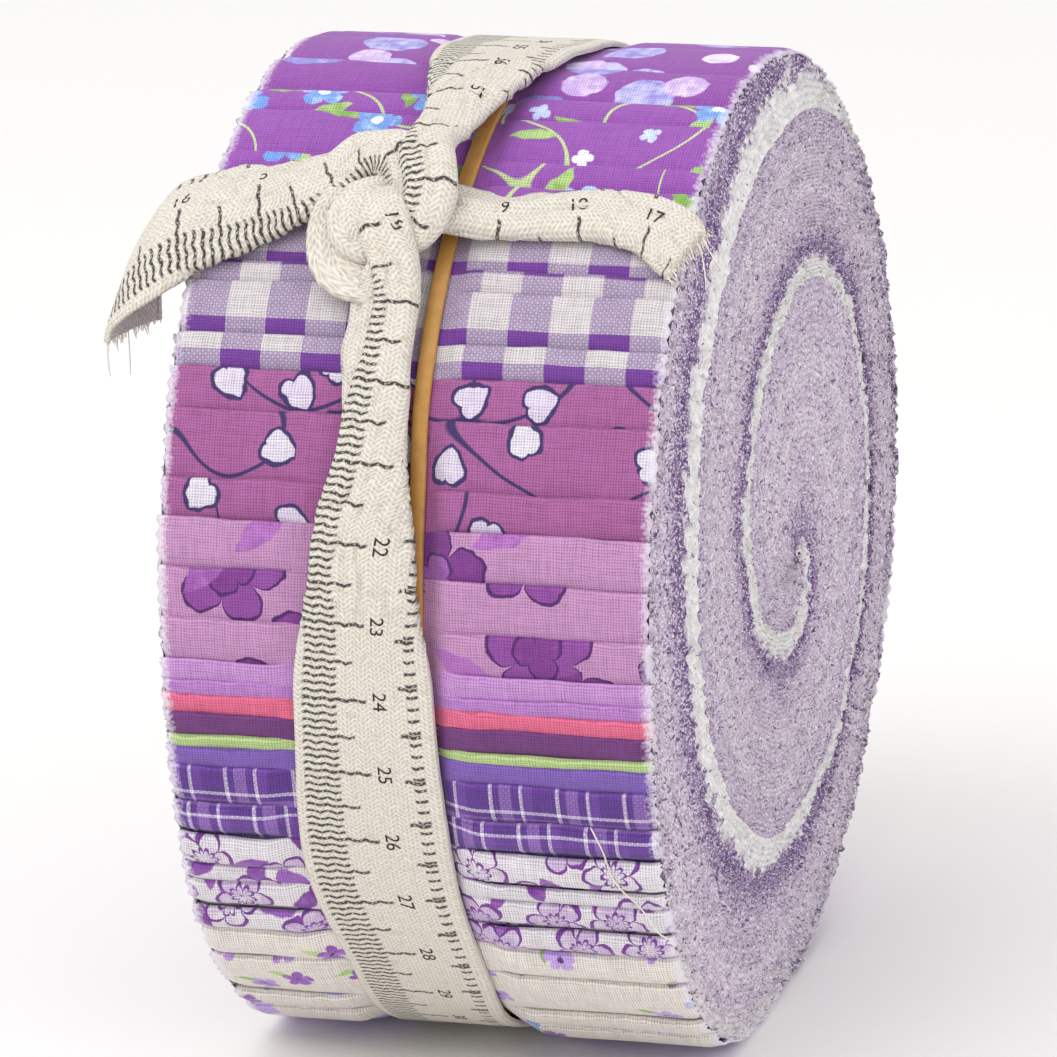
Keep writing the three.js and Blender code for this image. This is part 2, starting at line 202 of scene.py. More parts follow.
def stripEnds():
    ends = []
    for r, run in enumerate(clothRuns):
        until = clothRuns[r + 1]["from"] if r + 1 < len(clothRuns) else clothRuns[0]["from"] + 360
        pitch = (until - run["from"]) / run["ends"]
        for i in range(run["ends"]):
            shift = 0.22 * math.sin(2.4 * len(ends)) if i else 0
            rise = run["rise"] * (1 + 0.25 * math.sin(1.7 * len(ends)))
            at = run["from"] + pitch * (i + shift)
            ends.append({"at": at, "rise": rise, "cloth": run["cloth"], "order": i})
    return ends


stripSpec = {
    "columns": 84,
    "rowPitch": 1.0,  # half a pinked tooth
    "toothDepth": 0.55,
    "puff": 0.6,  # how far a strip swells between two ledges, times its rise squared
    "dip": 0.7,
    "fold": (0.78, 0.86),  # how high a fold is at most, and as a share of its ledge
    "foldRows": 6,
    "ply": 0.24,
    "tuck": 1.6,
    "edgeFrom": 29,  # from here outwards the cloth is drawn to its pinked edge
    "edgeDrop": (0.5, 29.5, 31.8),  # how far the edge turns down, and from where to where
}

# The tape's way round the roll, and the rubber band's, which press the cloth in
wrapRows = namedRows("at x lift width thick arch shift",
    (114, -1, 4.4, 9.8, 1.9, 1.1, -1), (107, -1.2, 3, 14, 1.4, 1.2), (99, -1.6, 1.8, 18, 1.1, 0.6),
    (88, -1.4, 0.4, 19.5, 1.1), (70, -1.2, 0.05, 19.5, 1.1), (0, -0.4, 0.05, 19.5, 1.1),
    (-70, -1.6, 0.05, 19.5, 1.1), (-84, -2.4, -0.5, 19, 1.1), (-107, -3.6, -0.5, 17.8, 1.1),
    (-122, -4.4, 0.05, 17.2, 1.1), (-137, -3.8, 0.05, 18.2, 1.1), (-156, -5.7, 0.05, 20, 1.1),
    (-176, -5.4, 0.3, 18.4, 1.1, 0.3), (-192, -4.9, 0.9, 14, 1.4, 0.8), (-206, -4, 2, 8.8, 2, 0.8, 3),
    (-215, -3, 2.9, 6, 2.8, 0.5, 3))
bandRows = namedRows("at lift",
    (0, -1.4), (89, -1.4), (101, 0.1), (150, 0.1), (161, -1.4), (238, -1.4), (250, -2), (278, -2),
    (292, -1.4), (360, -1.4))
bandSpec = {"x": 1.2, "width": 2.1, "thick": 1, "rows": 360, "corners": 12}
pressSpec = {
    "under": 0.75,  # how far the pressed cloth lies under the middle of the tape or band
    "tapeReach": (0.2, 4.5),  # how far beside the tape the cloth is still drawn down
    "tapeFree": (0.6, 2.2),  # the lifts between which the tape lets go of the cloth
    "bandReach": (0.1, 3.4),
    "knot": (118, 138),  # the tape stands off the cloth between these angles
}


# How deep the tape and the band press the cloth in at a place on the rim
def pressedTo(x, at, lift):
    turn = at % 360
    wrapAt = turn if turn <= wrapRows[0]["at"] else turn - 360
    if not pressSpec["knot"][0] < turn < pressSpec["knot"][1]:
        tapeLift = eased(wrapRows, "lift", wrapAt)
        gap = abs(x - eased(wrapRows, "x", wrapAt)) - eased(wrapRows, "width", wrapAt) / 2
        hold = 1 - smoothStep(*pressSpec["tapeReach"], gap)
        hold *= 1 - smoothStep(*pressSpec["tapeFree"], tapeLift)
        floor = min(tapeLift, 0.05) - pressSpec["under"]
        lift = lift + (min(lift, floor) - lift) * hold
    bandLift = eased(bandRows, "lift", turn) - pressSpec["under"]
    gap = abs(x - bandSpec["x"]) - bandSpec["width"] / 2
    hold = 1 - smoothStep(*pressSpec["bandReach"], gap)
    return lift + (min(lift, bandLift) - lift) * hold


ends = stripEnds()


# The next strip end round the rim
def nextEnd(index):
    return ends[index + 1] if index + 1 < len(ends) else {**ends[0], "at": ends[0]["at"] + 360}


solidTones = ["#B382BC", "#A873B4", "#CE5F80", "#67336F", "#A4B97C", "#7455A4"]


# One strip: it comes out from under its own fold and runs on under the next one's
def stripSheet(bm, index):
    end = ends[index]
    following = nextEnd(index)
    radius = meanRadius(end["at"])
    perMm = math.degrees(1 / radius)
    fold = min(stripSpec["fold"][0], stripSpec["fold"][1] * end["rise"])
    top = end["rise"] / 2
    profile = [(2.4, top - fold), (1.4, top - fold)]
    for k in range(stripSpec["foldRows"] + 1):
        phi = math.radians(-90 - 180 * k / stripSpec["foldRows"])
        profile.append((fold / 2 * (1 + math.cos(phi)), top - fold / 2 + fold / 2 * math.sin(phi)))
    visible = (following["at"] - end["at"]) / perMm
    bodyRows = max(3, round((visible + stripSpec["tuck"]) / stripSpec["rowPitch"]))
    for k in range(1, bodyRows + 1):
        along = fold / 2 + (visible + stripSpec["tuck"] - fold / 2) * k / bodyRows
        puff = stripSpec["puff"] * end["rise"] ** 2 * math.sin(math.pi * min(along / visible, 1))
        dip = stripSpec["dip"] * end["rise"] ** 2 * smoothStep(0.75 * visible, visible, along)
        profile.append((along, top + (-following["rise"] / 2 - top) * along / visible + puff - dip))
    steps = [0] + [math.dist(profile[k], profile[k - 1]) for k in range(1, len(profile))]
    lengths = np.cumsum(steps)
    shiftU, shiftV = rng.uniform(0, 400, 2)
    sideShift = rng.uniform(-0.35, 0.25, 2)
    columns, edgeFrom = stripSpec["columns"], stripSpec["edgeFrom"]
    drop, *dropZone = stripSpec["edgeDrop"]
    tone = hexColor(solidTones[end["order"] % len(solidTones)])

    def shape(column, row):
        along, lift = profile[row]
        x = halfWidth * (2 * column / columns - 1)
        side = 1 if x > 0 else 0
        tooth = (row % 2) * (0.8 + 0.4 * noise.noise(Vector((row * 0.7, index, side))))
        edge = halfWidth + sideShift[side] - stripSpec["toothDepth"] * tooth
        if abs(x) > edgeFrom:
            drawn = (abs(x) - edgeFrom) * (edge - edgeFrom) / (halfWidth - edgeFrom)
            x = math.copysign(edgeFrom + drawn, x)
        wave = 0.42 * noise.noise(Vector((x / 13, index * 3.7, 0)))
        wave += 0.16 * noise.noise(Vector((x / 4, index * 5.1, 7)))
        along += wave * math.exp(-max(along, 0) / 5)
        lift += 0.16 * noise.noise(Vector((x / 8, along / 9, index * 1.9)))
        lift -= drop * smoothStep(*dropZone, abs(x))
        at = end["at"] + along * perMm
        lift = pressedTo(x, at, lift)
        return place(x, at, lift, rollShape["clothFloor"]), x + shiftU, lengths[row] + shiftV, tone

    dye = bm.verts.layers.float_color.get("dye") or bm.verts.layers.float_color.new("dye")
    bendGrid(bm, columns, len(profile) - 1, shape, dye)
    return lengths[-1]


# Prints and weave of the quilting cottons
weaveSpec = {
    "thread": 0.36,
    # gap is how strong the painted shade is in the gaps between threads
    "gap": 0.5,  # how dark the gaps between threads are
    "bump": (0.6, 0.06),  # strength, and height in mm
    "fringe": (0.0313, 0.0324),  # where the fuzz begins and is full, in metres from the middle
}


# Threads over and under each other: how high the cloth is, and which set of threads is on top
def plainWeave(add, onCloth, thread):
    slub = add("TexNoise", {"Vector": onCloth, "Scale": 0.5, "Detail": 3}, noise_dimensions="2D")
    moved = add("VectorMath", {0: slub.outputs["Color"], "Scale": 0.4}, "SCALE")
    moved = add("VectorMath", [onCloth, moved], "ADD")
    turned = add("VectorMath", {0: moved, "Scale": math.pi / thread}, "SCALE")
    split = add("SeparateXYZ", [turned])
    sines = [add("Math", [split.outputs[k]], "SINE") for k in (0, 1)]
    crossing = add("Math", [sines[0], sines[1]], "MULTIPLY")
    sizes = [add("Math", [wave], "ABSOLUTE") for wave in (*sines, crossing)]
    height = add("Math", [sizes[0], sizes[1]], "MAXIMUM")  # pinholes where gaps cross
    height = add("Math", [sizes[2], 0.45, height], "MULTIPLY_ADD")
    for squeeze in ((2.8, 0.25, 0), (0.25, 2.8, 0)):  # thicker and thinner threads each way
        drawn = add("VectorMath", [onCloth, squeeze], "MULTIPLY")
        tone = add("TexNoise", {"Vector": drawn, "Scale": 1, "Detail": 1}, noise_dimensions="2D")
        height = add("Math", [tone, 0.6, height], "MULTIPLY_ADD")
    return add("MapRange", {"Value": height, "From Min": 0.7, "From Max": 2}), crossing


# A motif scattered over the cloth, each turned its own way. Its printed edges are soft by about a tenth
# of a millimetre
def scatterMotif(add, onCloth, ground, spec):
    shifted = add("VectorMath", [onCloth, spec["shift"]], "ADD")
    scaled = add("VectorMath", {0: shifted, "Scale": 1 / spec["pitch"]}, "SCALE")
    cell = add("TexVoronoi", {"Vector": scaled, "Scale": 1, "Randomness": spec["scatter"]},
               voronoi_dimensions="2D")
    local = add("VectorMath", [scaled, cell.outputs["Position"]], "SUBTRACT")
    local = add("VectorMath", {0: local, "Scale": spec["pitch"]}, "SCALE")
    chance = add("SeparateXYZ", [cell.outputs["Color"]])
    turn = add("Math", [chance.outputs[0], 6.28], "MULTIPLY")  # any way round
    local = add("VectorRotate", {"Vector": local, "Angle": turn}, rotation_type="Z_AXIS")
    brush = add("TexNoise", {"Vector": onCloth, "Scale": 0.5, "Detail": 1}, noise_dimensions="2D")
    brush = add("VectorMath", [brush.outputs["Color"], (0.5, 0.5, 0)], "SUBTRACT")
    brush = add("VectorMath", {0: brush, "Scale": 0.9}, "SCALE")  # a hand-drawn waver
    local = add("VectorMath", [local, brush], "ADD")
    flat = add("SeparateXYZ", [local])
    size = spec["size"]
    if spec["form"] == "leaf":
        stretched = add("Math", [flat.outputs[0], 1 / size], "MULTIPLY")
        squared = add("Math", [stretched, stretched], "MULTIPLY")
        half = add("Math", [squared, -size * spec["slim"], size * spec["slim"]], "MULTIPLY_ADD")
        away = add("Math", [flat.outputs[1]], "ABSOLUTE")
        inside = add("Math", [half, away], "SUBTRACT")
    else:
        rho = add("VectorMath", [local], "LENGTH")
        angle = add("Math", [flat.outputs[1], flat.outputs[0]], "ARCTAN2")
        if spec["form"] == "flower":
            turned = add("Math", [angle, spec["petals"] / 2], "MULTIPLY")
            petal = add("Math", [turned], "COSINE")
            petal = add("Math", [petal], "ABSOLUTE")
            petal = add("Math", [petal, 0.5], "POWER")
            reach = add("Math", [petal, 0.55 * size, 0.45 * size], "MULTIPLY_ADD")
        elif spec["form"] == "heart":
            away = add("Math", [angle], "ABSOLUTE")
            share = add("Math", [away, 1 / math.pi], "MULTIPLY")
            tip = add("Math", [1, share], "SUBTRACT")
            tip = add("Math", [tip, 3], "POWER")
            lobe = add("Math", [share, 2], "POWER")
            lobe = add("Math", [lobe, math.pi], "MULTIPLY")
            lobe = add("Math", [lobe], "SINE")
            lobe = add("Math", [lobe, 0.34 * size, 0.6 * size], "MULTIPLY_ADD")
            reach = add("Math", [tip, 0.6 * size, lobe], "MULTIPLY_ADD")
        else:
            reach = add("Math", [chance.outputs[1], 0.4 * size, 0.8 * size], "MULTIPLY_ADD")
        inside = add("Math", [reach, rho], "SUBTRACT")
    shown = add("Math", [chance.outputs[2], spec["share"]], "LESS_THAN")
    solid = add("MapRange", {"Value": inside, "From Min": -0.12, "From Max": 0.12})
    if spec["color"]:
        fill = add("Math", [solid, shown], "MULTIPLY")
        wash = add("TexNoise", {"Vector": onCloth, "Scale": 0.55, "Detail": 3}, noise_dimensions="2D")
        tone = add("Math", [wash, 1.6, chance.outputs[1]], "MULTIPLY_ADD")
        tone = add("MapRange", {"Value": tone, "From Min": 0.95, "From Max": 1.6})
        color = add("Mix", {"Factor": tone, "A": spec["color"], "B": spec["second"]}, data_type="RGBA")
        ground = add("Mix", {"Factor": fill, "A": ground, "B": color}, data_type="RGBA")
    if "line" in spec:
        lineColor, lineWidth = spec["line"]
        half = lineWidth * 0.5
        off = add("Math", [inside], "ABSOLUTE")
        ink = add("MapRange", {"Value": off, "From Min": half + 0.07, "From Max": half - 0.07})
        ink = add("Math", [ink, shown], "MULTIPLY")
        ground = add("Mix", {"Factor": ink, "A": ground, "B": lineColor}, data_type="RGBA")
    if "heart" in spec:
        heart = size * 0.26
        middle = add("MapRange", {"Value": rho, "From Min": heart + 0.08, "From Max": heart - 0.08})
        middle = add("Math", [middle, shown], "MULTIPLY")
        ground = add("Mix", {"Factor": middle, "A": ground, "B": spec["heart"]}, data_type="RGBA")
    return ground


# Thin stems that wander over the cloth
def wanderingStems(add, onCloth, ground, stems):
    drawn = add("VectorMath", {0: onCloth, "Scale": 1 / stems["pitch"]}, "SCALE")
    field = add("TexNoise", {"Vector": drawn, "Scale": 1, "Detail": 0}, noise_dimensions="2D")
    off = add("Math", [field, 0.5], "SUBTRACT")
    off = add("Math", [off], "ABSOLUTE")
    ink = add("MapRange", {"Value": off, "From Min": stems["width"], "From Max": stems["width"] * 0.5})
    return add("Mix", {"Factor": ink, "A": ground, "B": stems["color"]}, data_type="RGBA")


# Bands of dyed yarn both ways, as in a woven check: stops are (place, hex) along one repeat
def wovenCheck(add, onCloth, crossing, repeat, stops):
    scaled = add("VectorMath", {0: onCloth, "Scale": 1 / repeat}, "SCALE")
    split = add("SeparateXYZ", [scaled])
    yarns = []
    for k in (0, 1):
        share = add("Math", [split.outputs[k]], "FRACT")
        ramp = add("ValToRGB", {"Fac": share})
        ramp.color_ramp.interpolation = "CONSTANT"
        elements = ramp.color_ramp.elements
        while len(elements) > 1:
            elements.remove(elements[-1])
        elements[0].position, elements[0].color = stops[0][0], hexColor(stops[0][1])
        for position, color in stops[1:]:
            elements.new(position).color = hexColor(color)
        yarns.append(ramp)
    over = add("MapRange", {"Value": crossing, "From Min": -0.2, "From Max": 0.2,
                            "To Min": 0.4, "To Max": 0.6})
    return add("Mix", {"Factor": over, "A": yarns[0], "B": yarns[1]}, data_type="RGBA")


# One motif of a print: its form, how far apart and how big it is in mm, and its two tones
def motif(form, pitch, size, color=None, second=None, **more):
    usual = {"petals": 5, "slim": 0.3, "share": 1.1, "scatter": 0.75, "shift": (0, 0, 0)}
    return {"form": form, "pitch": pitch, "size": size, "color": color, "second": second, **usual, **more}


leafGreen = ("#A9C77F", "#7FA650")
prints = {
    "pale": {"ground": "#E4DEE8", "motifs": [
        motif("flower", 6, 1.6, "#B79BD0", "#C9B4DC")]},
    "dots": {"ground": "#8A479F", "motifs": [
        motif("dot", 13, 4, "#C3BEEA", "#8A84CE", share=0.62),
        motif("dot", 15, 2.7, "#E6D6F0", "#BFA2DA", share=0.7, shift=(41, 17, 0))]},
    "blossom": {"ground": "#8F4EA6", "stems": {"pitch": 21, "width": 0.009, "color": "#B9CC92"}, "motifs": [
        motif("leaf", 13, 4.2, *leafGreen, share=0.75, shift=(3.5, 2, 0)),
        motif("leaf", 17, 3.2, *leafGreen, share=0.7, shift=(30, 52, 0)),
        motif("flower", 13, 3.3, "#B4D0F2", "#6F97DC", heart="#E8F0FF", share=0.7, scatter=0.7),
        motif("flower", 11, 1.5, "#E8E6F8", "#B9C8F4", petals=4, share=0.45, shift=(77, 31, 0))]},
    "gingham": {"check": (10.4, [(0, "#6A378C"), (0.5, "#C2BBBE")])},
    "vine": {"ground": "#97558A", "stems": {"pitch": 17, "width": 0.013, "color": "#3A2A5E"}, "motifs": [
        motif("heart", 9, 2.4, "#CDC7D0", "#C9BCD2", line=("#3A2A5E", 0.5), share=0.8, shift=(13, 7, 0))]},
    "bloom": {"ground": "#B080AA", "motifs": [
        motif("flower", 19, 7, "#743380", "#82428F", line=("#4B2060", 0.5), share=0.8),
        motif("flower", 19, 3.4, "#8F55A0", "#743380", petals=3, line=("#4B2060", 0.4), share=0.8),
        motif("leaf", 16, 5, "#A567AE", "#8F4F9C", slim=0.34, share=0.5, shift=(50, 9, 0))]},
    "plains": {"dyed": True},
    "plaid": {"check": (8.6, [(0, "#553080"), (0.34, "#D8CFE0"), (0.4, "#553080"), (0.5, "#9672B4"),
                              (0.68, "#553080"), (0.8, "#D8CFE0"), (0.85, "#6E4298")])},
    # The outline and sprig strips lie low on the roll's front: their grounds are partly painted shade,
    # darkened for the dimmer light there
    "outline": {"ground": "#CFC9CF", "motifs": [
        motif("leaf", 6.4, 3, "#74398F", "#8F5BAA", slim=0.42, share=0.8, shift=(21, 8, 0)),
        motif("flower", 9, 3.7, "#CFC9CF", "#BBA6C6", line=("#6E3389", 0.55), share=0.85),
        motif("flower", 9, 1.7, petals=10, line=("#6E3389", 0.4), heart="#6E3389", share=0.85)]},
    # This ground is partly painted shade, like the outline print's
    "sprig": {"ground": "#D5CEC8", "motifs": [
        motif("leaf", 8, 1.9, *leafGreen, share=0.7, shift=(2, 1.2, 0)),
        motif("flower", 8, 2.1, "#8A50A8", "#B89AD8", heart="#5A2A7A", share=0.75),
        motif("flower", 12, 1.4, "#7E90D2", "#9AA8E0", petals=4, share=0.6, shift=(61, 33, 0))]},
    "lilac": {"ground": "#C3AEDC", "motifs": [
        motif("flower", 7, 2.1, "#F0ECF6", "#E2D8F0", heart="#9A6CC0", share=0.8)]},
    "speckle": {"ground": "#6E3A98", "motifs": [
        motif("dot", 5, 0.9, "#D9C8EE", "#B49AD8", share=0.85)]},
    "check": {"check": (6.2, [(0, "#A567B4"), (0.5, "#EEE6F0")])},
    "paleSprig": {"ground": "#E9E2EC", "motifs": [
        motif("leaf", 11, 2.4, *leafGreen, share=0.6, shift=(2.6, 1.2, 0)),
        motif("flower", 11, 2.9, "#A878C8", "#C7A4DA", heart="#F2E8B0", share=0.8)]},
    "orchid": {"ground": "#B25BA8", "motifs": [
        motif("leaf", 9, 3.4, "#D59ACB", "#9A4592", share=0.8)]},
    "plum": {"ground": "#5F2C80", "motifs": [
        motif("flower", 8, 2.2, petals=6, line=("#C9AEE0", 0.4), share=0.85)]},
}


# Printed plain-weave cotton: matt, with the weave's grain, painted shade in the gaps between its threads,
# and a soft fuzz at the pinked edges
def cottonMaterial(name, design):
    material, shader, add = startMaterial("cotton_" + name, 0.92, 0.15)
    onCloth = add("UVMap", uv_map="UVMap")
    weave, crossing = plainWeave(add, onCloth, weaveSpec["thread"])
    if "check" in design:
        color = wovenCheck(add, onCloth, crossing, *design["check"])
    elif "dyed" in design:
        color = add("Attribute", attribute_name="dye").outputs["Color"]
    else:
        color = design["ground"]
        if "stems" in design:
            color = wanderingStems(add, onCloth, color, design["stems"])
        for spec in design["motifs"]:
            color = scatterMotif(add, onCloth, color, spec)
    # Painted shade and highlight: the colour is darkened in the gaps between threads and lightened on their
    # crowns, over the threads' own thicker and thinner tones
    shade = add("MapRange", {"Value": weave, "To Min": 1 - weaveSpec["gap"], "To Max": 1.3})
    color = add("VectorMath", {0: color, "Scale": shade}, "SCALE")
    where = add("TexCoord")
    split = add("SeparateXYZ", [where.outputs["Object"]])
    fromMiddle = add("Math", [split.outputs[0]], "ABSOLUTE")
    fibres = add("TexNoise", {"Vector": where.outputs["Object"], "Scale": 2200, "Detail": 3})
    ragged = add("Math", [fibres, 0.0022, fromMiddle], "MULTIPLY_ADD")
    begin, full = weaveSpec["fringe"]
    fringe = add("MapRange", {"Value": ragged, "From Min": begin, "From Max": full})
    fringe = add("Math", [fringe, 0.8], "MULTIPLY")
    color = add("Mix", {"Factor": fringe, "A": color, "B": "#E6DFEA"}, data_type="RGBA")
    strength, height = weaveSpec["bump"]
    bump = add("Bump", {"Strength": strength, "Distance": height * mm, "Height": weave})
    feed(shader, {"Base Color": color, "Normal": bump})
    return material


print("rim strips")
for run in clothRuns:
    bm = bmesh.new()
    length = sum(stripSheet(bm, k) for k, end in enumerate(ends) if end["cloth"] == run["cloth"])
    material = cottonMaterial(run["cloth"], prints[run["cloth"]])
    piece = finishPiece(bm, "rim_" + run["cloth"], material)
    thicken(piece, stripSpec["ply"])
    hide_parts("fabric_roll")

# The wound edges on the two end faces. Angles run from the outermost ply inwards, once round in 360
windSpec = {
    "heart": (10, -6),
    "plies": 42,  # double plies through one turn of the bundle, coarse enough to show
    "turns": (40, 1100, 0.25),  # where the winding starts and ends, and the step, in degrees
    "rimTurn": 412,  # up to here the bundle's outer side is the rim
    # in the inmost turns the gaps between plies also get more painted shade
    "inmost": 430,  # from here on the colours are calmer and the gaps darker
    "row": 0.68,
    "widest": 1.6,  # how wide a ply is at most
    "ridgeHalf": 0.54,  # half a ply's width as a share of its pitch, a little over half, so that plies meet
    "toothDepth": 0.2,
    "toothTurn": 2.35,  # a tooth's wave, in radians a mm
    "fuzz": 0.17,
    "lean": 0.16,
    "valley": 0.42,  # how deep the gap between two plies goes
    "face": 31.6,
    "rimZone": 5,  # plies this near the rim are more frayed, with shallower gaps
    "rimFill": 0.6,  # the outermost ply fills up to the rim where it is this near
    "blue": 0.93,  # the cut edges are a little redder than the tones below
    "gapShade": (0.82, 0.78, 0.84, 1),
    "cream": ("#E6E1E4", (200, 222, 256, 276), (0, 1, 1, 0)),  # where the cream strips end at the rim
}
turnLine = [
    (52, 60.2), (68, 59.8), (90, 59.4), (116, 58.2), (142, 57.6), (167, 52.2), (194, 45.8), (226, 38.4),
    (270, 33.8), (292, 34), (330, 37.6), (365, 39.6), (398, 40.2), (429, 38), (465, 33.8), (502, 29.2),
    (519, 25.8), (537, 20.7), (556, 15.3), (587, 10), (630, 7.6), (700, 5.4), (760, 0), (1400, 0),
]
innerEnds = [(640, 0), (760, 0.08), (849, 0.16), (879, 0.25), (897, 0.35), (916, 0.5), (947, 0.66),
             (990, 0.78), (1060, 0.92), (1100, 1)]
# The bundle's cloths from its inner side out: where each begins, its edge colour, and how thick
# the deep purple specks of cut yarn lie on it
edgeTones = [
    (0, "#E9E9EB", 0.05), (0.11, "#E4E2E8", 0.1), (0.14, "#8D68A2", 1), (0.18, "#7C5496", 1),
    (0.23, "#A68BB8", 0.9), (0.29, "#BFA9CB", 0.8), (0.36, "#CDBCD6", 0.45), (0.46, "#C9B6D2", 0.55),
    (0.55, "#D6C9DC", 0.4), (0.64, "#C8B4D2", 0.6), (0.72, "#D3C8DA", 0.35), (0.8, "#CDBED6", 0.5),
    (0.88, "#C2AECF", 0.65), (0.94, "#CFC1D8", 0.5), (1, "#BFA8CB", 0.75),
]

# The rim as it is seen from the winding's heart: its distance, and its angle on the rim less the one here
rimAngles = np.arange(0, 360, 0.5)
rimRadii = np.array([meanRadius(a) for a in rimAngles])
heartY, heartZ = windSpec["heart"]
rimY = rimRadii * np.cos(np.radians(rimAngles)) - heartY
rimZ = np.maximum(rimRadii * np.sin(np.radians(rimAngles)), 0.6 - rollShape["axisHeight"]) - heartZ
heartAngles = np.degrees(np.arctan2(rimZ, rimY)) % 360
order = np.argsort(heartAngles)
heartAngles, heartRadii = heartAngles[order], np.hypot(rimY, rimZ)[order]
heartShift = (rimAngles[order] - heartAngles + 180) % 360 - 180


def smoothCurve(points, step=1.0, width=9):
    grid = np.arange(points[0][0], points[-1][0], step)
    values = np.interp(grid, *np.transpose(points))
    kernel = np.hanning(2 * width + 1)
    padded = np.concatenate([np.full(width, values[0]), values, np.full(width, values[-1])])
    return grid, np.convolve(padded, kernel / kernel.sum(), mode="valid")


turnCurve = smoothCurve(turnLine)


def rimFromHeart(turn):
    return np.interp(turn % 360, heartAngles, heartRadii, period=360) - 0.4


def rimAngle(turn):
    return (turn + np.interp(turn % 360, heartAngles, heartShift, period=360)) % 360


# The share of the bundle's layers that have started by an angle on the outermost turn
startShares = np.interp(np.arange(len(ends)), [0, 4, 9, 13, len(ends) - 1], [0.03, 0.12, 0.27, 0.37, 1])


def startedShare(turn):
    ats = rimAngle(turn)
    ats = np.where(turn < 60, np.where(ats > 200, ats - 360, ats), ats)
    ats = np.where((turn >= 360) & (ats < 200), ats + 360, ats)
    return np.interp(ats, [end["at"] for end in ends], startShares)


# The way of one ply, its share of the bundle counted from the inner side: angle, radius, pitch and length
def layerPath(share):
    turns = np.arange(*windSpec["turns"])
    atRim = turns < windSpec["rimTurn"]
    inner = np.minimum(np.interp(turns, *turnCurve), rimFromHeart(turns) - 0.4)
    outer = np.where(atRim, rimFromHeart(turns), np.interp(turns - 360, *turnCurve))
    started = np.where(atRim, startedShare(turns), 1.0)
    ended = np.interp(turns, *np.transpose(innerEnds))
    spread = np.maximum(started - ended, 1e-3)
    radius = inner + (outer - inner) * (share - ended) / spread
    pitch = np.minimum((outer - inner) / (spread * windSpec["plies"]), windSpec["widest"])
    present = np.flatnonzero((share <= started) & (share >= ended))
    turns, radius, pitch = [values[present[0] : present[-1] + 1] for values in (turns, radius, pitch)]
    steps = np.hypot(np.diff(radius), radius[:-1] * np.radians(windSpec["turns"][2]))
    length = np.concatenate([[0], np.cumsum(steps)])
    rows = max(4, int(length[-1] / windSpec["row"]))
    at = np.linspace(0, length[-1], rows + 1)
    return [np.interp(at, length, values) for values in (turns, radius, pitch)] + [at]


# How high the strips' ends lie over the mean rim
def coverLift(at):
    turn = (at - ends[0]["at"]) % 360 + ends[0]["at"]
    index = int(np.searchsorted([end["at"] for end in ends], turn, side="right")) - 1
    end, following = ends[index], nextEnd(index)
    share = (turn - end["at"]) / (following["at"] - end["at"])
    puff = stripSpec["puff"] * math.sin(math.pi * share) - stripSpec["dip"] * smoothStep(0.75, 1, share)
    return end["rise"] / 2 - (following["rise"] + end["rise"]) / 2 * share + puff * end["rise"] ** 2


skirtSpec = {
    "section": [(28.8, -0.5), (30.2, -0.25), (31, -0.08), (31.3, 0), (31.15, -1), (30.8, -4)],
    "rows": 480,
    "under": 0.95,  # how deep it lies under the strips' ends
    "tone": "#D2C3DB",
}


# The plies just under the rim, which show in the notches of the outermost one
def rimSkirt(bm, side, tint):
    section, rows = skirtSpec["section"][::side], skirtSpec["rows"]

    def shape(column, row):
        at = 360 * (row % rows) / rows
        x, lift = section[column]
        lift += min(coverLift(at + step) for step in (-0.8, 0, 0.8)) - skirtSpec["under"]
        shade = 0.95 + 0.3 * noise.noise(outward(at) * 60 + Vector((x, 0, 0)))
        tone = [shade * channel for channel in hexColor(skirtSpec["tone"])[:3]] + [0.4]
        lift += 0.1 * noise.noise(outward(at) * 40 + Vector((x, 0, 0)))
        return place(side * x, at, lift, rollShape["clothFloor"]), x, at, tone

    made = bendGrid(bm, len(section) - 1, rows, shape, tint)
    bmesh.ops.remove_doubles(bm, verts=made, dist=1e-7)


# The colours along one ply's ridge, and those of the gaps beside it painted darker as shade. Alpha says how
# thick the dark specks lie
def plyColors(share, turns, spots, nearRim):
    places, shades, specks = zip(*edgeTones)
    tones = np.array([[*hexColor(shade)[:3], speck] for shade, speck in zip(shades, specks)])
    drift = np.array([noise.noise(spot / 1.7 + Vector((0, 0, 9))) for spot in spots])
    shares = np.clip(share + rng.normal(0, 0.016, len(turns)) + 0.06 * drift, 0, 1)
    colors = np.stack([np.interp(shares, places, tones[:, k]) for k in range(4)], axis=1)
    clumps = np.array([noise.noise(spot / 0.8) for spot in spots]) * (0.5 + 0.8 * nearRim)
    light = rng.uniform(0.84, 1.1, len(turns)) * (1 + 0.5 * clumps) * (1 - 0.2 * nearRim)
    colors[:, :3] *= light[:, None]
    cream, *creamZone = windSpec["cream"]
    creamEnds = np.interp(rimAngle(turns), *creamZone) * nearRim
    colors[:, :3] += (np.array(hexColor(cream)[:3]) - colors[:, :3]) * 0.7 * creamEnds[:, None]
    colors[:, 3] *= 1 - 0.6 * creamEnds
    inmost = turns > windSpec["inmost"]
    specked = colors[:, 3] * np.where(inmost, 0.75, 1.0) - 0.5 * clumps
    colors[:, 3] = np.clip(specked + rng.normal(0, 0.12, len(turns)), 0, 1)
    colors[:, 2] *= windSpec["blue"]
    # Painted shade: the gaps between plies are painted darker than the ridges, and darker still in the
    # inmost turns
    shadedGaps = colors * np.array(windSpec["gapShade"])
    colors[:, :3] *= np.where(inmost, 1.04, 1)[:, None]
    shadedGaps[:, :3] *= np.where(inmost, 0.8, 1)[:, None]
    return colors, shadedGaps


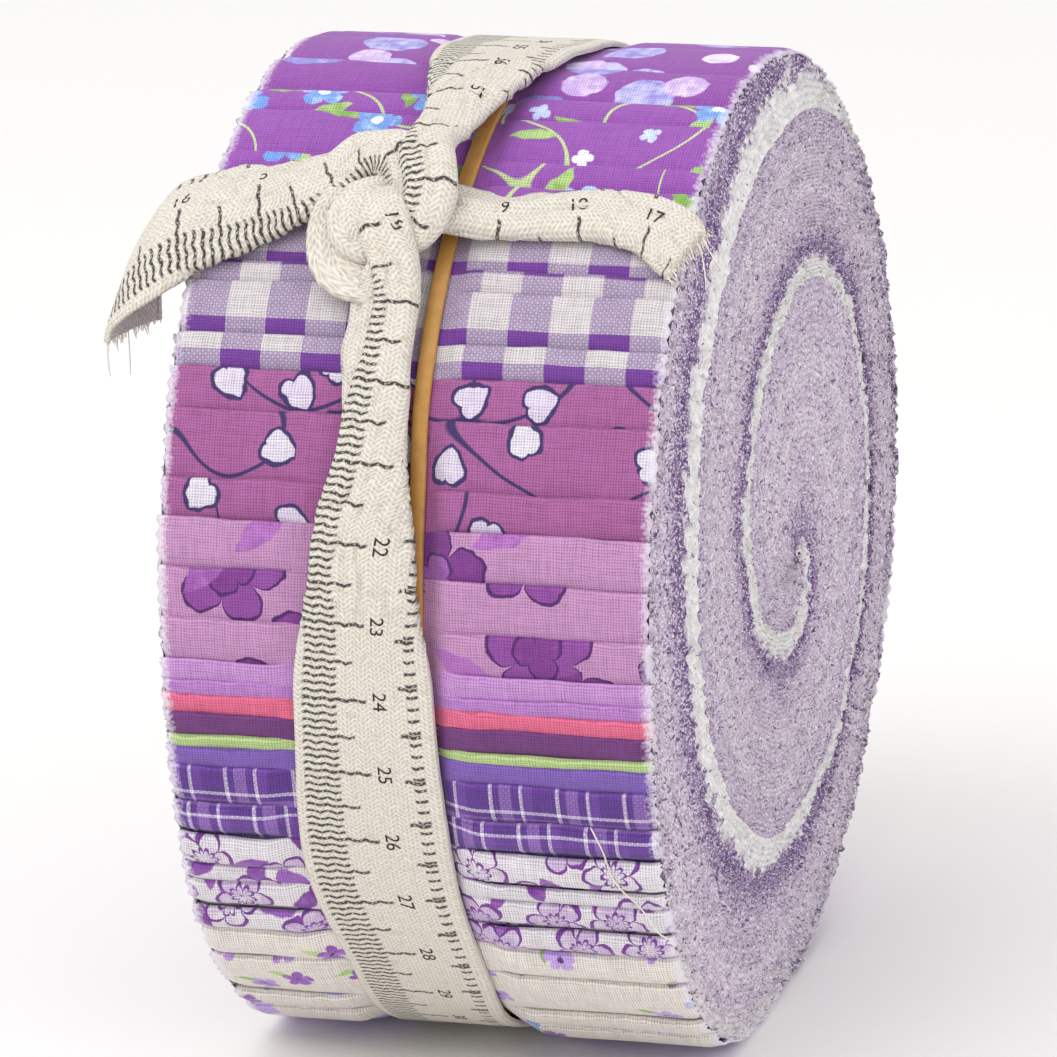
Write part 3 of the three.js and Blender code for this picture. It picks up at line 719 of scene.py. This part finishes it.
# Each ply's cut edge is a ridge, pinked and frayed, with its two sides down in the gaps
def endFace(side, name, material):
    bm = bmesh.new()
    tint = bm.verts.layers.float_color.new("plyTint")
    face = windSpec["face"]
    for layer in range(windSpec["plies"]):
        share = (layer + 0.5) / windSpec["plies"]
        turns, radii, pitches, lengths = layerPath(share)
        count = len(turns)
        angles, edge, atRim = np.radians(turns), rimFromHeart(turns), turns < windSpec["rimTurn"]
        nearRim = np.clip(1 - (edge - radii) / windSpec["rimZone"], 0, 1) * atRim
        wander = np.cumsum(rng.normal(0, 0.12, count)) + rng.uniform(0, 6.28)
        tooth = windSpec["toothDepth"] * (0.5 + 0.5 * np.cos(lengths * windSpec["toothTurn"] + wander))
        fray = rng.normal(0, windSpec["fuzz"], count) * (1 + 2 * nearRim)
        crest = face + rng.uniform(-0.15, 0.15) - tooth + fray
        valley = face - windSpec["valley"] * (1 - 0.6 * nearRim)
        lean = rng.normal(0, windSpec["lean"], count)
        spots = [Vector((r * math.cos(a), r * math.sin(a), side)) for r, a in zip(radii, angles)]
        colors, shadedGaps = plyColors(share, turns, spots, nearRim)

        def shape(column, row):
            ridge = column == 1
            reach = (column - 1) * pitches[row] * windSpec["ridgeHalf"]
            radius = radii[row] + reach + (lean[row] if ridge else 0)
            across, up = radius * math.cos(angles[row]), radius * math.sin(angles[row])
            swell = 0.5 * noise.noise(Vector((across / 9, up / 9, side)))
            x = min((crest[row] if ridge else valley[row]) + swell, halfWidth + 0.3)
            if column == 2 and edge[row] - radius < windSpec["rimFill"] and atRim[row]:
                across, up = [(edge[row] + 0.15) * turned(angles[row]) for turned in (math.cos, math.sin)]
                x = face - 0.25
            point = Vector((side * x, heartY + across, max(heartZ + up + rollShape["axisHeight"], 0.35)))
            return point, column * 0.3, lengths[row], (colors if ridge else shadedGaps)[row]

        bendGrid(bm, 2, count - 1, shape, tint)
    for flap in bm.faces:
        flap.normal_update()
        if flap.normal.x * side < 0:
            flap.normal_flip()
    rimSkirt(bm, side, tint)
    print(name, len(bm.faces) * 2, "triangles")
    return finishPiece(bm, name, material)


# Pinked cotton edges seen end on: dyed yarn speckled with the white of its cut fibres
def cutEdgeMaterial():
    material, shader, add = startMaterial("cotton_pinked_edges", 0.95, 0.15)
    tint = add("Attribute", attribute_name="plyTint")
    where = add("TexCoord")
    specks = add("TexNoise", {"Vector": where.outputs["Object"], "Scale": 1900, "Detail": 2,
                              "Roughness": 0.7})
    fine = add("TexNoise", {"Vector": where.outputs["Object"], "Scale": 3100, "Detail": 1})
    bar = add("Math", [tint.outputs["Alpha"], -0.2, 0.67], "MULTIPLY_ADD")
    above = add("Math", [specks, bar], "SUBTRACT")
    dark = add("MapRange", {"Value": above, "From Min": -0.03, "From Max": 0.05, "To Max": 0.95})
    light = add("MapRange", {"Value": fine, "From Min": 0.54, "From Max": 0.64, "To Max": 0.75})
    color = add("Mix", {"Factor": dark, "A": tint.outputs["Color"], "B": "#54306E"}, data_type="RGBA")
    color = add("Mix", {"Factor": light, "A": color, "B": "#F3F0F5"}, data_type="RGBA")
    bump = add("Bump", {"Strength": 0.5, "Distance": 0.15 * mm, "Height": fine})
    feed(shader, {"Base Color": color, "Normal": bump})
    return material


print("end faces")
edgeMaterial = cutEdgeMaterial()
for side, name in ((1, "end_face_right"), (-1, "end_face_left")):
    piece = endFace(side, name, edgeMaterial)
    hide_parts("fabric_roll")

# The twill tape: its wrap, its knot and its two free ends
tapeSpec = {
    "width": 19.5,
    "thick": 0.8,
    "turnsUnder": (17.5, 14),  # a strand as narrow as this has its edges turned under
    "rowPitch": 0.7,
    "columns": 34,
}
frontStrand = namedRows("x at lift width thick shift",
    (-4.4, 133.2, 3.2, 5.6, 3, 2.4), (-1.4, 133.4, 4.8, 6.4, 3.4, 2.6), (0, 131.4, 6.8, 7, 3.8, 2.8),
    (-0.4, 128, 8, 7.2, 3.8, 3), (-2.4, 124.4, 7.8, 7, 3.6, 2.6), (-1.8, 120.6, 6.4, 6.8, 2.8, 0.4),
    (-1.1, 117, 5.1, 8.2, 2.2, -0.6))
dropStrand = namedRows("x at lift width thick shift",
    (-2.6, -220.2, 3.8, 5.8, 3.2, 2.4), (-3.3, -222.8, 5, 6.2, 3.4, 1), (-4.5, -225, 6.4, 6.6, 3.6, -0.5),
    (-5.6, -227.8, 7.2, 6.8, 3.8, -2), (-6.2, -230.6, 5.8, 5.6, 3.2, -2))
humpStrand = namedRows("x at lift width thick shift",
    (-4, 129.4, 4, 5.6, 3.2, 1.4), (-3.9, 126.6, 6.2, 6.6, 3.6, 1.4), (-6.2, 124.5, 7.4, 7.4, 3.8, 1.4),
    (-9.8, 124.4, 6.7, 7.4, 3.6, 1.2), (-13.6, 126.4, 4.6, 7.4, 3, 0.8))
loopStrand = namedRows("x at lift width thick shift",
    (-6.4, 128.6, 5, 5.2, 3.4, -3), (-9, 130.2, 6.4, 6.2, 3.8, -3), (-10.2, 132.4, 6.4, 6.6, 4.2, -3),
    (-9.6, 134.6, 5.4, 6.2, 4, -3), (-7.6, 135.4, 4.4, 5.2, 3.6, -3), (-5.6, 134, 3.6, 4.8, 3, -3))
coreStrand = namedRows("x at lift width thick",
    (-13.4, 129.2, 3.3, 7, 3.6), (-8.6, 128.6, 3.7, 9, 4.2), (-3, 128.2, 4, 9, 4.2),
    (1, 129.8, 3.6, 6, 3.2))
leftEnd = namedRows("near far arch thick shift",
    ((-19.6, 132.8, 1.7), (-22, 123.2, 1.9), 2.2, 1.5, 0.4),
    ((-23.8, 135.1, 1.5), (-27, 123.6, 1.7), 2.6, 1.2), ((-29.5, 137.4, 1.6), (-31, 124.6, 1.6), 2.8, 1.1),
    ((-33.3, 140.2, 1.8), (-35.2, 125, 0.4), 2.8, 1.1),
    ((-37.5, 142.7, 1.4), (-38.2, 127, -4.4), 2.2, 1.1),
    ((-40.4, 144.3, 0.2), (-39.4, 130.6, -9.8), 1.4, 1.1),
    ((-41, 145.5, -1), (-39.6, 135.8, -14.8), 0.6, 1.1))
rightEnd = namedRows("near far arch thick shift",
    ((30.2, 136.2, 1.9), (34.2, 129.4, 1.5), 0.4, 1.6, -1),
    ((28.8, 135.2, 1.9), (31.8, 127.2, 1.9), 0.8, 2, -1.4), ((26, 133, 1.9), (26.4, 125.4, 2), 1, 2.2, -2),
    ((20.9, 131.6, 2), (19.4, 125, 2), 0.9, 2.4, -2.4), ((14, 132, 2), (12.7, 126.4, 2.1), 0.8, 2.4, -2),
    ((7.6, 132.2, 2.1), (7.4, 127.9, 2.3), 0.6, 2.6, -1.6),
    ((0.6, 132.4, 3.6), (0.4, 128, 4), 0.4, 3, -1.6))


# Rows by their middle become rows by their two edges, square to their way and to the rim
def strandEdges(rows):
    middles = [place(row["x"], row["at"], row["lift"]) for row in rows]
    made = []
    across = Vector((1, 0, 0))
    for k, row in enumerate(rows):
        along = middles[min(k + 1, len(rows) - 1)] - middles[max(k - 1, 0)]
        side = along.normalized().cross(outward(row["at"]))
        if side.length > 0.3:
            across = side.normalized()
        reach = across * row["width"] / 2
        made.append({**row, "near": middles[k] - reach, "far": middles[k] + reach})
    return made


def endEdges(rows):
    return [{**row, "near": place(*row["near"]), "far": place(*row["far"])} for row in rows]


# Even, smoothed stations along the tape from rows that give its two edges
def tapeStations(rows, soften=1.8):
    keys = ("thick", "arch", "shift")
    table = np.array([[*row["near"], *row["far"], *[row.get(key, 0) for key in keys]] for row in rows])
    middles = (table[:, :3] + table[:, 3:6]) / 2
    length = np.concatenate([[0], np.cumsum(np.linalg.norm(np.diff(middles, axis=0), axis=1))])
    count = int(length[-1] / tapeSpec["rowPitch"])
    at = np.linspace(0, length[-1], count + 1)
    table = np.stack([np.interp(at, length, table[:, k]) for k in range(table.shape[1])], axis=1)
    width = max(1, round(3 * soften / tapeSpec["rowPitch"]))
    kernel = np.exp(-0.5 * ((np.arange(-width, width + 1) * tapeSpec["rowPitch"]) / soften) ** 2)
    kernel /= kernel.sum()
    low = 2 * table[0] - table[1 : width + 1][::-1]
    high = 2 * table[-1] - table[-width - 1 : -1][::-1]
    padded = np.concatenate([low, table, high])
    return np.stack([np.convolve(column, kernel, mode="valid") for column in padded.T], axis=1), at


# The tape across its length: flat where it has room, and with both edges turned under where
# a strand is narrower than the tape. s runs from the tick edge, in mm
def tapeSection(width, thick, arch, shift, s, along, seed):
    spare = smoothStep(*tapeSpec["turnsUnder"], width)
    full = width + (tapeSpec["width"] - width) * spare
    s = (s / tapeSpec["width"] - 0.5) * full + shift * spare
    ply = tapeSpec["thick"] / 2
    radius = max(thick / 2 - ply, 0.3)
    level = max(width / 2 - ply - radius, 0.2)
    side, run = math.copysign(1, s), abs(s)
    if run <= level:
        across, up = run, radius
    elif run <= level + math.pi * radius:
        turned = (run - level) / radius
        across, up = level + radius * math.sin(turned), radius * math.cos(turned)
    else:
        across, up = level - (run - level - math.pi * radius), -radius
    # the edge that ends underneath lies a little deeper on one side
    lap = 0.9 * smoothStep(level + 2.6 * radius, level + 3.6 * radius, run)
    up += lap * (1 if side > 0 else 0.4) * radius
    up += arch * (1 - min(across / max(width / 2, 1), 1) ** 2)
    crumple = 0.05 + 0.16 * spare
    up += crumple * noise.noise(Vector((along / 3.1, s / 2.6, seed)))
    crease = abs(noise.noise(Vector((along / 11, s / 2.4, seed + 5))))
    up -= 0.5 * spare * max(0, 1 - crease / 0.09)
    across = side * across + crumple * noise.noise(Vector((along / 4.1, s / 3, seed + 9)))
    return across, up - radius * (1 - spare)


# A length of tape: where it goes, and the mark at which its measure starts
def tapeWay(rows, soften, seed, start):
    table, at = tapeStations(rows, soften)
    middles = (table[:, :3] + table[:, 3:6]) / 2
    return {"table": table, "middles": middles, "tangents": np.gradient(middles, axis=0), "at": at,
            "seed": seed, "start": start}


# A point on the tape by its row along the way and its place s across
def tapePoint(way, row, s, lift=0.0):
    low = min(int(row), len(way["at"]) - 2)
    share = row - low
    parts = [way[key] for key in ("table", "middles", "tangents", "at")]
    edges, middle, tangent, along = [part[low] * (1 - share) + part[low + 1] * share for part in parts]
    side = Vector(edges[3:6] - edges[:3])
    width = side.length
    side.normalize()
    out = side.cross(Vector(tangent)).normalized()
    across, up = tapeSection(width, *edges[6:9], s, along, way["seed"])
    return Vector(middle) + side * across + out * (up + lift)


def tapeSheet(bm, way):
    def shape(column, row):
        s = column / tapeSpec["columns"] * tapeSpec["width"]
        return tapePoint(way, row, s), s, way["start"] + way["at"][row]

    bendGrid(bm, tapeSpec["columns"], len(way["at"]) - 1, shape)
    return way["at"][-1]


# The measure on the tape's face, in mm: from one tick to the next, where it starts and ends, half its
# width. Millimetres run along one edge and sixteenths of an inch along the other
tapePrint = [(1, 1.6, 6.3, 0.2), (5, 1.6, 8.6, 0.22), (10, 1.6, 10.6, 0.24), (1.59, 16, 17.5, 0.22),
             (6.35, 14.9, 17.5, 0.26)]
twillSpec = {
    "zigzag": 1.1,
    "rib": 0.62,  # with the zigzag a little coarser than the real tape's, so that the herringbone shows
    "yarn": 0.55,
    "bump": (0.6, 0.12),  # strength, and height in mm
}


# Natural cotton twill: cream, matt, in herringbone ribs with painted shade in their grooves, with a measure
# printed on its face
def tapeMaterial(name, printed):
    material, shader, add = startMaterial(name, 0.95, 0.1)
    onTape = add("UVMap", uv_map="UVMap")
    split = add("SeparateXYZ", [onTape])
    across, along = split.outputs[0], split.outputs[1]
    zigzag = add("Math", [across, twillSpec["zigzag"]], "PINGPONG")
    loose = add("TexNoise", {"Vector": onTape, "Scale": 0.9, "Detail": 3}, noise_dimensions="2D")
    slanted = add("Math", [zigzag, 0.8, along], "MULTIPLY_ADD")
    slanted = add("Math", [loose, 0.7, slanted], "MULTIPLY_ADD")
    phase = add("Math", [slanted, 2 * math.pi / twillSpec["rib"]], "MULTIPLY")
    rib = add("Math", [phase], "SINE")
    lengthwise = add("Math", [across, 2 * math.pi / twillSpec["yarn"]], "MULTIPLY")
    groove = add("Math", [lengthwise], "COSINE")
    relief = add("Math", [groove, -0.6, rib], "MULTIPLY_ADD")
    yarn = add("TexNoise", {"Vector": onTape, "Scale": 2.6, "Detail": 4}, noise_dimensions="2D")
    relief = add("Math", [yarn, 2.2, relief], "MULTIPLY_ADD")
    # Painted shade and highlight: the grooves between ribs and yarns are painted darker and the rib tops
    # lighter, over the yarns' own uneven tone
    shade = add("MapRange", {"Value": relief, "From Min": -0.8, "From Max": 2})
    color = add("Mix", {"Factor": shade, "A": "#C6BDAF", "B": "#EBE5DB"}, data_type="RGBA")
    slubs = add("TexNoise", {"Vector": onTape, "Scale": 0.8, "Detail": 2}, noise_dimensions="2D")
    slubs = add("MapRange", {"Value": slubs, "From Min": 0.6, "From Max": 0.75, "To Max": 0.35})
    color = add("Mix", {"Factor": slubs, "A": color, "B": "#C9B08C"}, data_type="RGBA")
    if printed:
        wobble = add("TexNoise", {"Vector": onTape, "Scale": 1.1, "Detail": 2}, noise_dimensions="2D")
        shaken = add("MapRange", {"Value": wobble, "To Min": -0.22, "To Max": 0.02})
        shaken = add("Math", [zigzag, 0.26, shaken], "MULTIPLY_ADD")
        down = add("Math", [along, shaken], "ADD")
        reach = add("Math", [shaken, 1.2, across], "MULTIPLY_ADD")
        ink = None
        for every, low, high, half in tapePrint:
            away = add("Math", [down, every / 2], "PINGPONG")
            tick = add("MapRange", {"Value": away, "From Min": half + 0.07, "From Max": half - 0.07})
            for near, far in ((low - 0.1, low + 0.1), (high + 0.1, high - 0.1)):
                kept = add("MapRange", {"Value": reach, "From Min": near, "From Max": far})
                tick = add("Math", [tick, kept], "MULTIPLY")
            ink = tick if ink is None else add("Math", [ink, tick], "MAXIMUM")
        worn = add("MapRange", {"Value": relief, "From Min": -0.2, "From Max": 0.7,
                                "To Min": 0.25, "To Max": 0.95})
        ink = add("Math", [ink, worn], "MULTIPLY")
        color = add("Mix", {"Factor": ink, "A": color, "B": "#231F1D"}, data_type="RGBA")
    strength, height = twillSpec["bump"]
    bump = add("Bump", {"Strength": strength, "Distance": height * mm, "Height": relief})
    feed(shader, {"Base Color": color, "Normal": bump})
    return material


print("tape")
printedTwill = tapeMaterial("cotton_twill_printed_face", True)
plainTwill = tapeMaterial("cotton_twill_plain_back", False)
wrapSteps = [
    {"at": at, **{key: eased(wrapRows, key, at) for key in wrapRows[0] if key != "at"}}
    for at in range(wrapRows[0]["at"], wrapRows[-1]["at"] - 1, -3)
]
tapeWays = {
    "wrap": tapeWay(strandEdges(frontStrand + wrapSteps + dropStrand), 1.4, 0, 0),
    "left": tapeWay(strandEdges(humpStrand) + endEdges(leftEnd), 1.1, 21, 3),
    "right": tapeWay(endEdges(rightEnd), 1.1, 33, 44),
    "loop": tapeWay(strandEdges(loopStrand), 0.9, 45, 70),
    "core": tapeWay(strandEdges(coreStrand), 0.9, 57, 90),
}
for name, parts, held in (
    ("tape_wrap", ["wrap"], "stretched"),
    ("tape_end_left", ["left"], "laid"),
    ("tape_end_right", ["right"], "laid"),
    ("tape_knot", ["loop", "core"], "folded"),
):
    bm = bmesh.new()
    measured = sum(tapeSheet(bm, tapeWays[part]) for part in parts)
    piece = finishPiece(bm, name, printedTwill)
    piece.data.materials.append(plainTwill)
    solidify = thicken(piece, tapeSpec["thick"], offset=0)
    solidify.material_offset = 1
    solidify.material_offset_rim = 1
    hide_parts("tape_tie")
    print(name, "length", round(measured, 1))

# Numbers every 10 mm, read with the ticks below them
numberSpec = {"size": 2.6, "across": 11.4, "lift": 0.43}
bm = bmesh.new()
for key in ("wrap", "left", "right"):
    way = tapeWays[key]
    for k in range(1, int((way["start"] + way["at"][-1]) / 10) + 1):
        along = 10 * k - way["start"]
        if not 4 < along < way["at"][-1] - 6:
            continue
        curve = bpy.data.curves.new("number", "FONT")
        curve.body = str((60 - k) % 60 if key == "wrap" else k + 12)  # the cut length begins at any number
        curve.size = numberSpec["size"]
        curve.align_x = "CENTER"
        label = bpy.data.objects.new("number", curve)
        scene.collection.objects.link(label)
        bpy.context.view_layer.update()
        flat = label.to_mesh()
        for vert in flat.vertices:
            row = np.interp(along - vert.co.x, way["at"], np.arange(len(way["at"])))
            vert.co = tapePoint(way, row, numberSpec["across"] + vert.co.y, numberSpec["lift"]) * mm
        bm.from_mesh(flat)
        label.to_mesh_clear()
        bpy.data.objects.remove(label)
        bpy.data.curves.remove(curve)
fabricInk = mottledMaterial("fabric_ink", "#1C1918", "#3E3833", 2500)
numbers = finishPiece(bm, "tape_numbers", fabricInk, smooth=False, closed=True)
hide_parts("tape_tie")

# Loose threads at the tape's two cut ends, and one from a strip's edge
threadSpec = {
    "radius": 0.09,
    "sides": 5,
    "perEnd": 60,
    "length": (0.5, 1.7),
    "long": {"left": (4, 30), "right": (50, 52)},  # these hang out further
    "longer": 3.6,
    "pulled": 0.11,  # the radius of a thread pulled out of a strip's edge
}


def threadTube(bm, points, radius):
    previous = None
    for k, point in enumerate(points):
        ahead = points[min(k + 1, len(points) - 1)] - points[max(k - 1, 0)]
        turn = ahead.to_track_quat("Z", "Y").to_matrix().to_4x4()
        turn.translation = point * mm
        size = radius * (1 if 0 < k < len(points) - 1 else 0.5) * mm
        ring = bmesh.ops.create_circle(bm, cap_ends=k in (0, len(points) - 1), segments=threadSpec["sides"],
                                       radius=size, matrix=turn)["verts"]
        edges = list({edge for vert in ring for edge in vert.link_edges if edge.other_vert(vert) in ring})
        if previous:
            bmesh.ops.bridge_loops(bm, edges=previous + edges)
        previous = edges


threadCotton = mottledMaterial("cotton_loose_thread", "#D8CFC2", "#F1ECE4", 1500, 0.95)
bm = bmesh.new()
for key, row, ahead in (("left", len(tapeWays["left"]["at"]) - 1, 1), ("right", 0, -1)):
    way = tapeWays[key]
    for k in range(threadSpec["perEnd"]):
        s = tapeSpec["width"] * (k + 0.5 + rng.uniform(-0.4, 0.4)) / threadSpec["perEnd"]
        start = tapePoint(way, row, s)
        onward = (start - tapePoint(way, row - ahead * 2, s)).normalized()
        length = rng.uniform(*threadSpec["length"])
        length += threadSpec["longer"] if k in threadSpec["long"][key] else 0
        bend = Vector(rng.normal(0, 0.7, 3))
        points = [start + onward * (length * t - 0.6) + bend * (t * t * length * 0.35)
                  + Vector((0, 0, -0.32 * length * t * t)) for t in np.linspace(0, 1, 6)]
        threadTube(bm, points, threadSpec["radius"])
threads = finishPiece(bm, "tape_threads", threadCotton, closed=True)
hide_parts("tape_tie")

# The pulled thread's way, by x, angle and lift
pulled = [(23, 197.4, 0.9), (24, 200, 1.1), (25, 203, 1.1), (26.5, 205.5, 1.3), (28.4, 208.4, 1.4),
          (30.4, 210.8, 1.5), (31.6, 212.6, 1.2)]
bm = bmesh.new()
turns = np.linspace(0, len(pulled) - 1, 40)
way = zip(*[np.interp(turns, np.arange(len(pulled)), column) for column in zip(*pulled)])
points = [place(x + 0.25 * math.sin(k / 3.1), at, lift + 0.2 * math.sin(k / 2.3))
          for k, (x, at, lift) in enumerate(way)]
threadTube(bm, points, threadSpec["pulled"])
pulledThread = finishPiece(bm, "strip_thread", threadCotton, closed=True)
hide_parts("fabric_roll")

# The rubber band
print("rubber band")


def bandLoop(bm):
    half, thick = bandSpec["width"] / 2, bandSpec["thick"] / 2

    def shape(column, row):
        at = 360 * row / bandSpec["rows"]
        phi = 2 * math.pi * column / bandSpec["corners"]
        across = math.copysign(abs(math.cos(phi)) ** 0.5, math.cos(phi)) * half
        up = math.copysign(abs(math.sin(phi)) ** 0.6, math.sin(phi)) * thick
        lift = eased(bandRows, "lift", at % 360) + up
        return place(bandSpec["x"] + across, at, lift), column, at

    made = bendGrid(bm, bandSpec["corners"], bandSpec["rows"], shape)
    bmesh.ops.remove_doubles(bm, verts=made, dist=1e-7)


# Tan gum rubber: soft satin gloss with a dusty bloom
def rubberMaterial():
    material, shader, add = startMaterial("gum_rubber", 0.5)
    where = add("TexCoord")
    dust = add("TexNoise", {"Vector": where.outputs["Object"], "Scale": 700, "Detail": 4})
    color = add("Mix", {"Factor": dust, "A": "#A87530", "B": "#CC9A52"}, data_type="RGBA")
    bump = add("Bump", {"Strength": 0.3, "Distance": 0.05 * mm, "Height": dust})
    feed(shader, {"Base Color": color, "Normal": bump})
    return material


bm = bmesh.new()
bandLoop(bm)
band = finishPiece(bm, "rubber_band_loop", rubberMaterial(), closed=True)
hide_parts("rubber_band")

# Floor, light and camera
print("stage")
bm = bmesh.new()
bmesh.ops.create_grid(bm, x_segments=1, y_segments=1, size=3)
floorMesh = bpy.data.meshes.new("floor")
bm.to_mesh(floorMesh)
bm.free()
floor = bpy.data.objects.new("floor", floorMesh)
scene.collection.objects.link(floor)
floorMesh.materials.append(mottledMaterial("floor_paper", "#F3F2F0", "#F5F4F2", 300))

world = bpy.data.worlds.new("studio")
scene.world = world
world.use_nodes = True
feed(world.node_tree.nodes["Background"], {"Color": (1, 1, 1, 1), "Strength": 0.9})

cameraSpec = {"azimuth": 15.99, "elevation": 16.12, "distance": 1, "roll": -1.33, "focal": 7631,
              "frame": 1057, "centre": (544.0, 526.6)}
lamps = [
    {"name": "key", "azimuth": -35, "elevation": 55, "distance": 1.2, "size": 0.9, "power": 6},
    {"name": "fill", "azimuth": 60, "elevation": 25, "distance": 1.3, "size": 1.0, "power": 2},
]


# A lamp or camera that looks at the roll's middle from a number of metres away
def aimAtRoll(name, data, spec):
    a, e = math.radians(spec["azimuth"]), math.radians(spec["elevation"])
    back = Vector((math.sin(a) * math.cos(e), -math.cos(a) * math.cos(e), math.sin(e)))
    made = bpy.data.objects.new(name, data)
    made.location = Vector((0, 0, rollShape["axisHeight"])) * mm + back * spec["distance"]
    made.rotation_mode = "QUATERNION"
    upright = (-back).to_track_quat("-Z", "Y")
    made.rotation_quaternion = upright @ Quaternion((0, 0, 1), math.radians(spec.get("roll", 0)))
    scene.collection.objects.link(made)
    return made


for lamp in lamps:
    light = bpy.data.lights.new(lamp["name"], "AREA")
    light.energy = lamp["power"]
    light.size = lamp["size"]
    aimAtRoll(lamp["name"], light, lamp)

cameraData = bpy.data.cameras.new("camera")
cameraData.sensor_width = 36
cameraData.lens = 36 * cameraSpec["focal"] / cameraSpec["frame"]
middle = cameraSpec["frame"] / 2
cameraData.shift_x = -(cameraSpec["centre"][0] - middle) / cameraSpec["frame"]
cameraData.shift_y = (cameraSpec["centre"][1] - middle) / cameraSpec["frame"]
cameraData.clip_start, cameraData.clip_end = 0.05, 20
scene.camera = aimAtRoll("camera", cameraData, cameraSpec)

scene.view_settings.view_transform = "Standard"  # a product photo's plain colours
bpy.context.view_layer.update()
print("finishing")
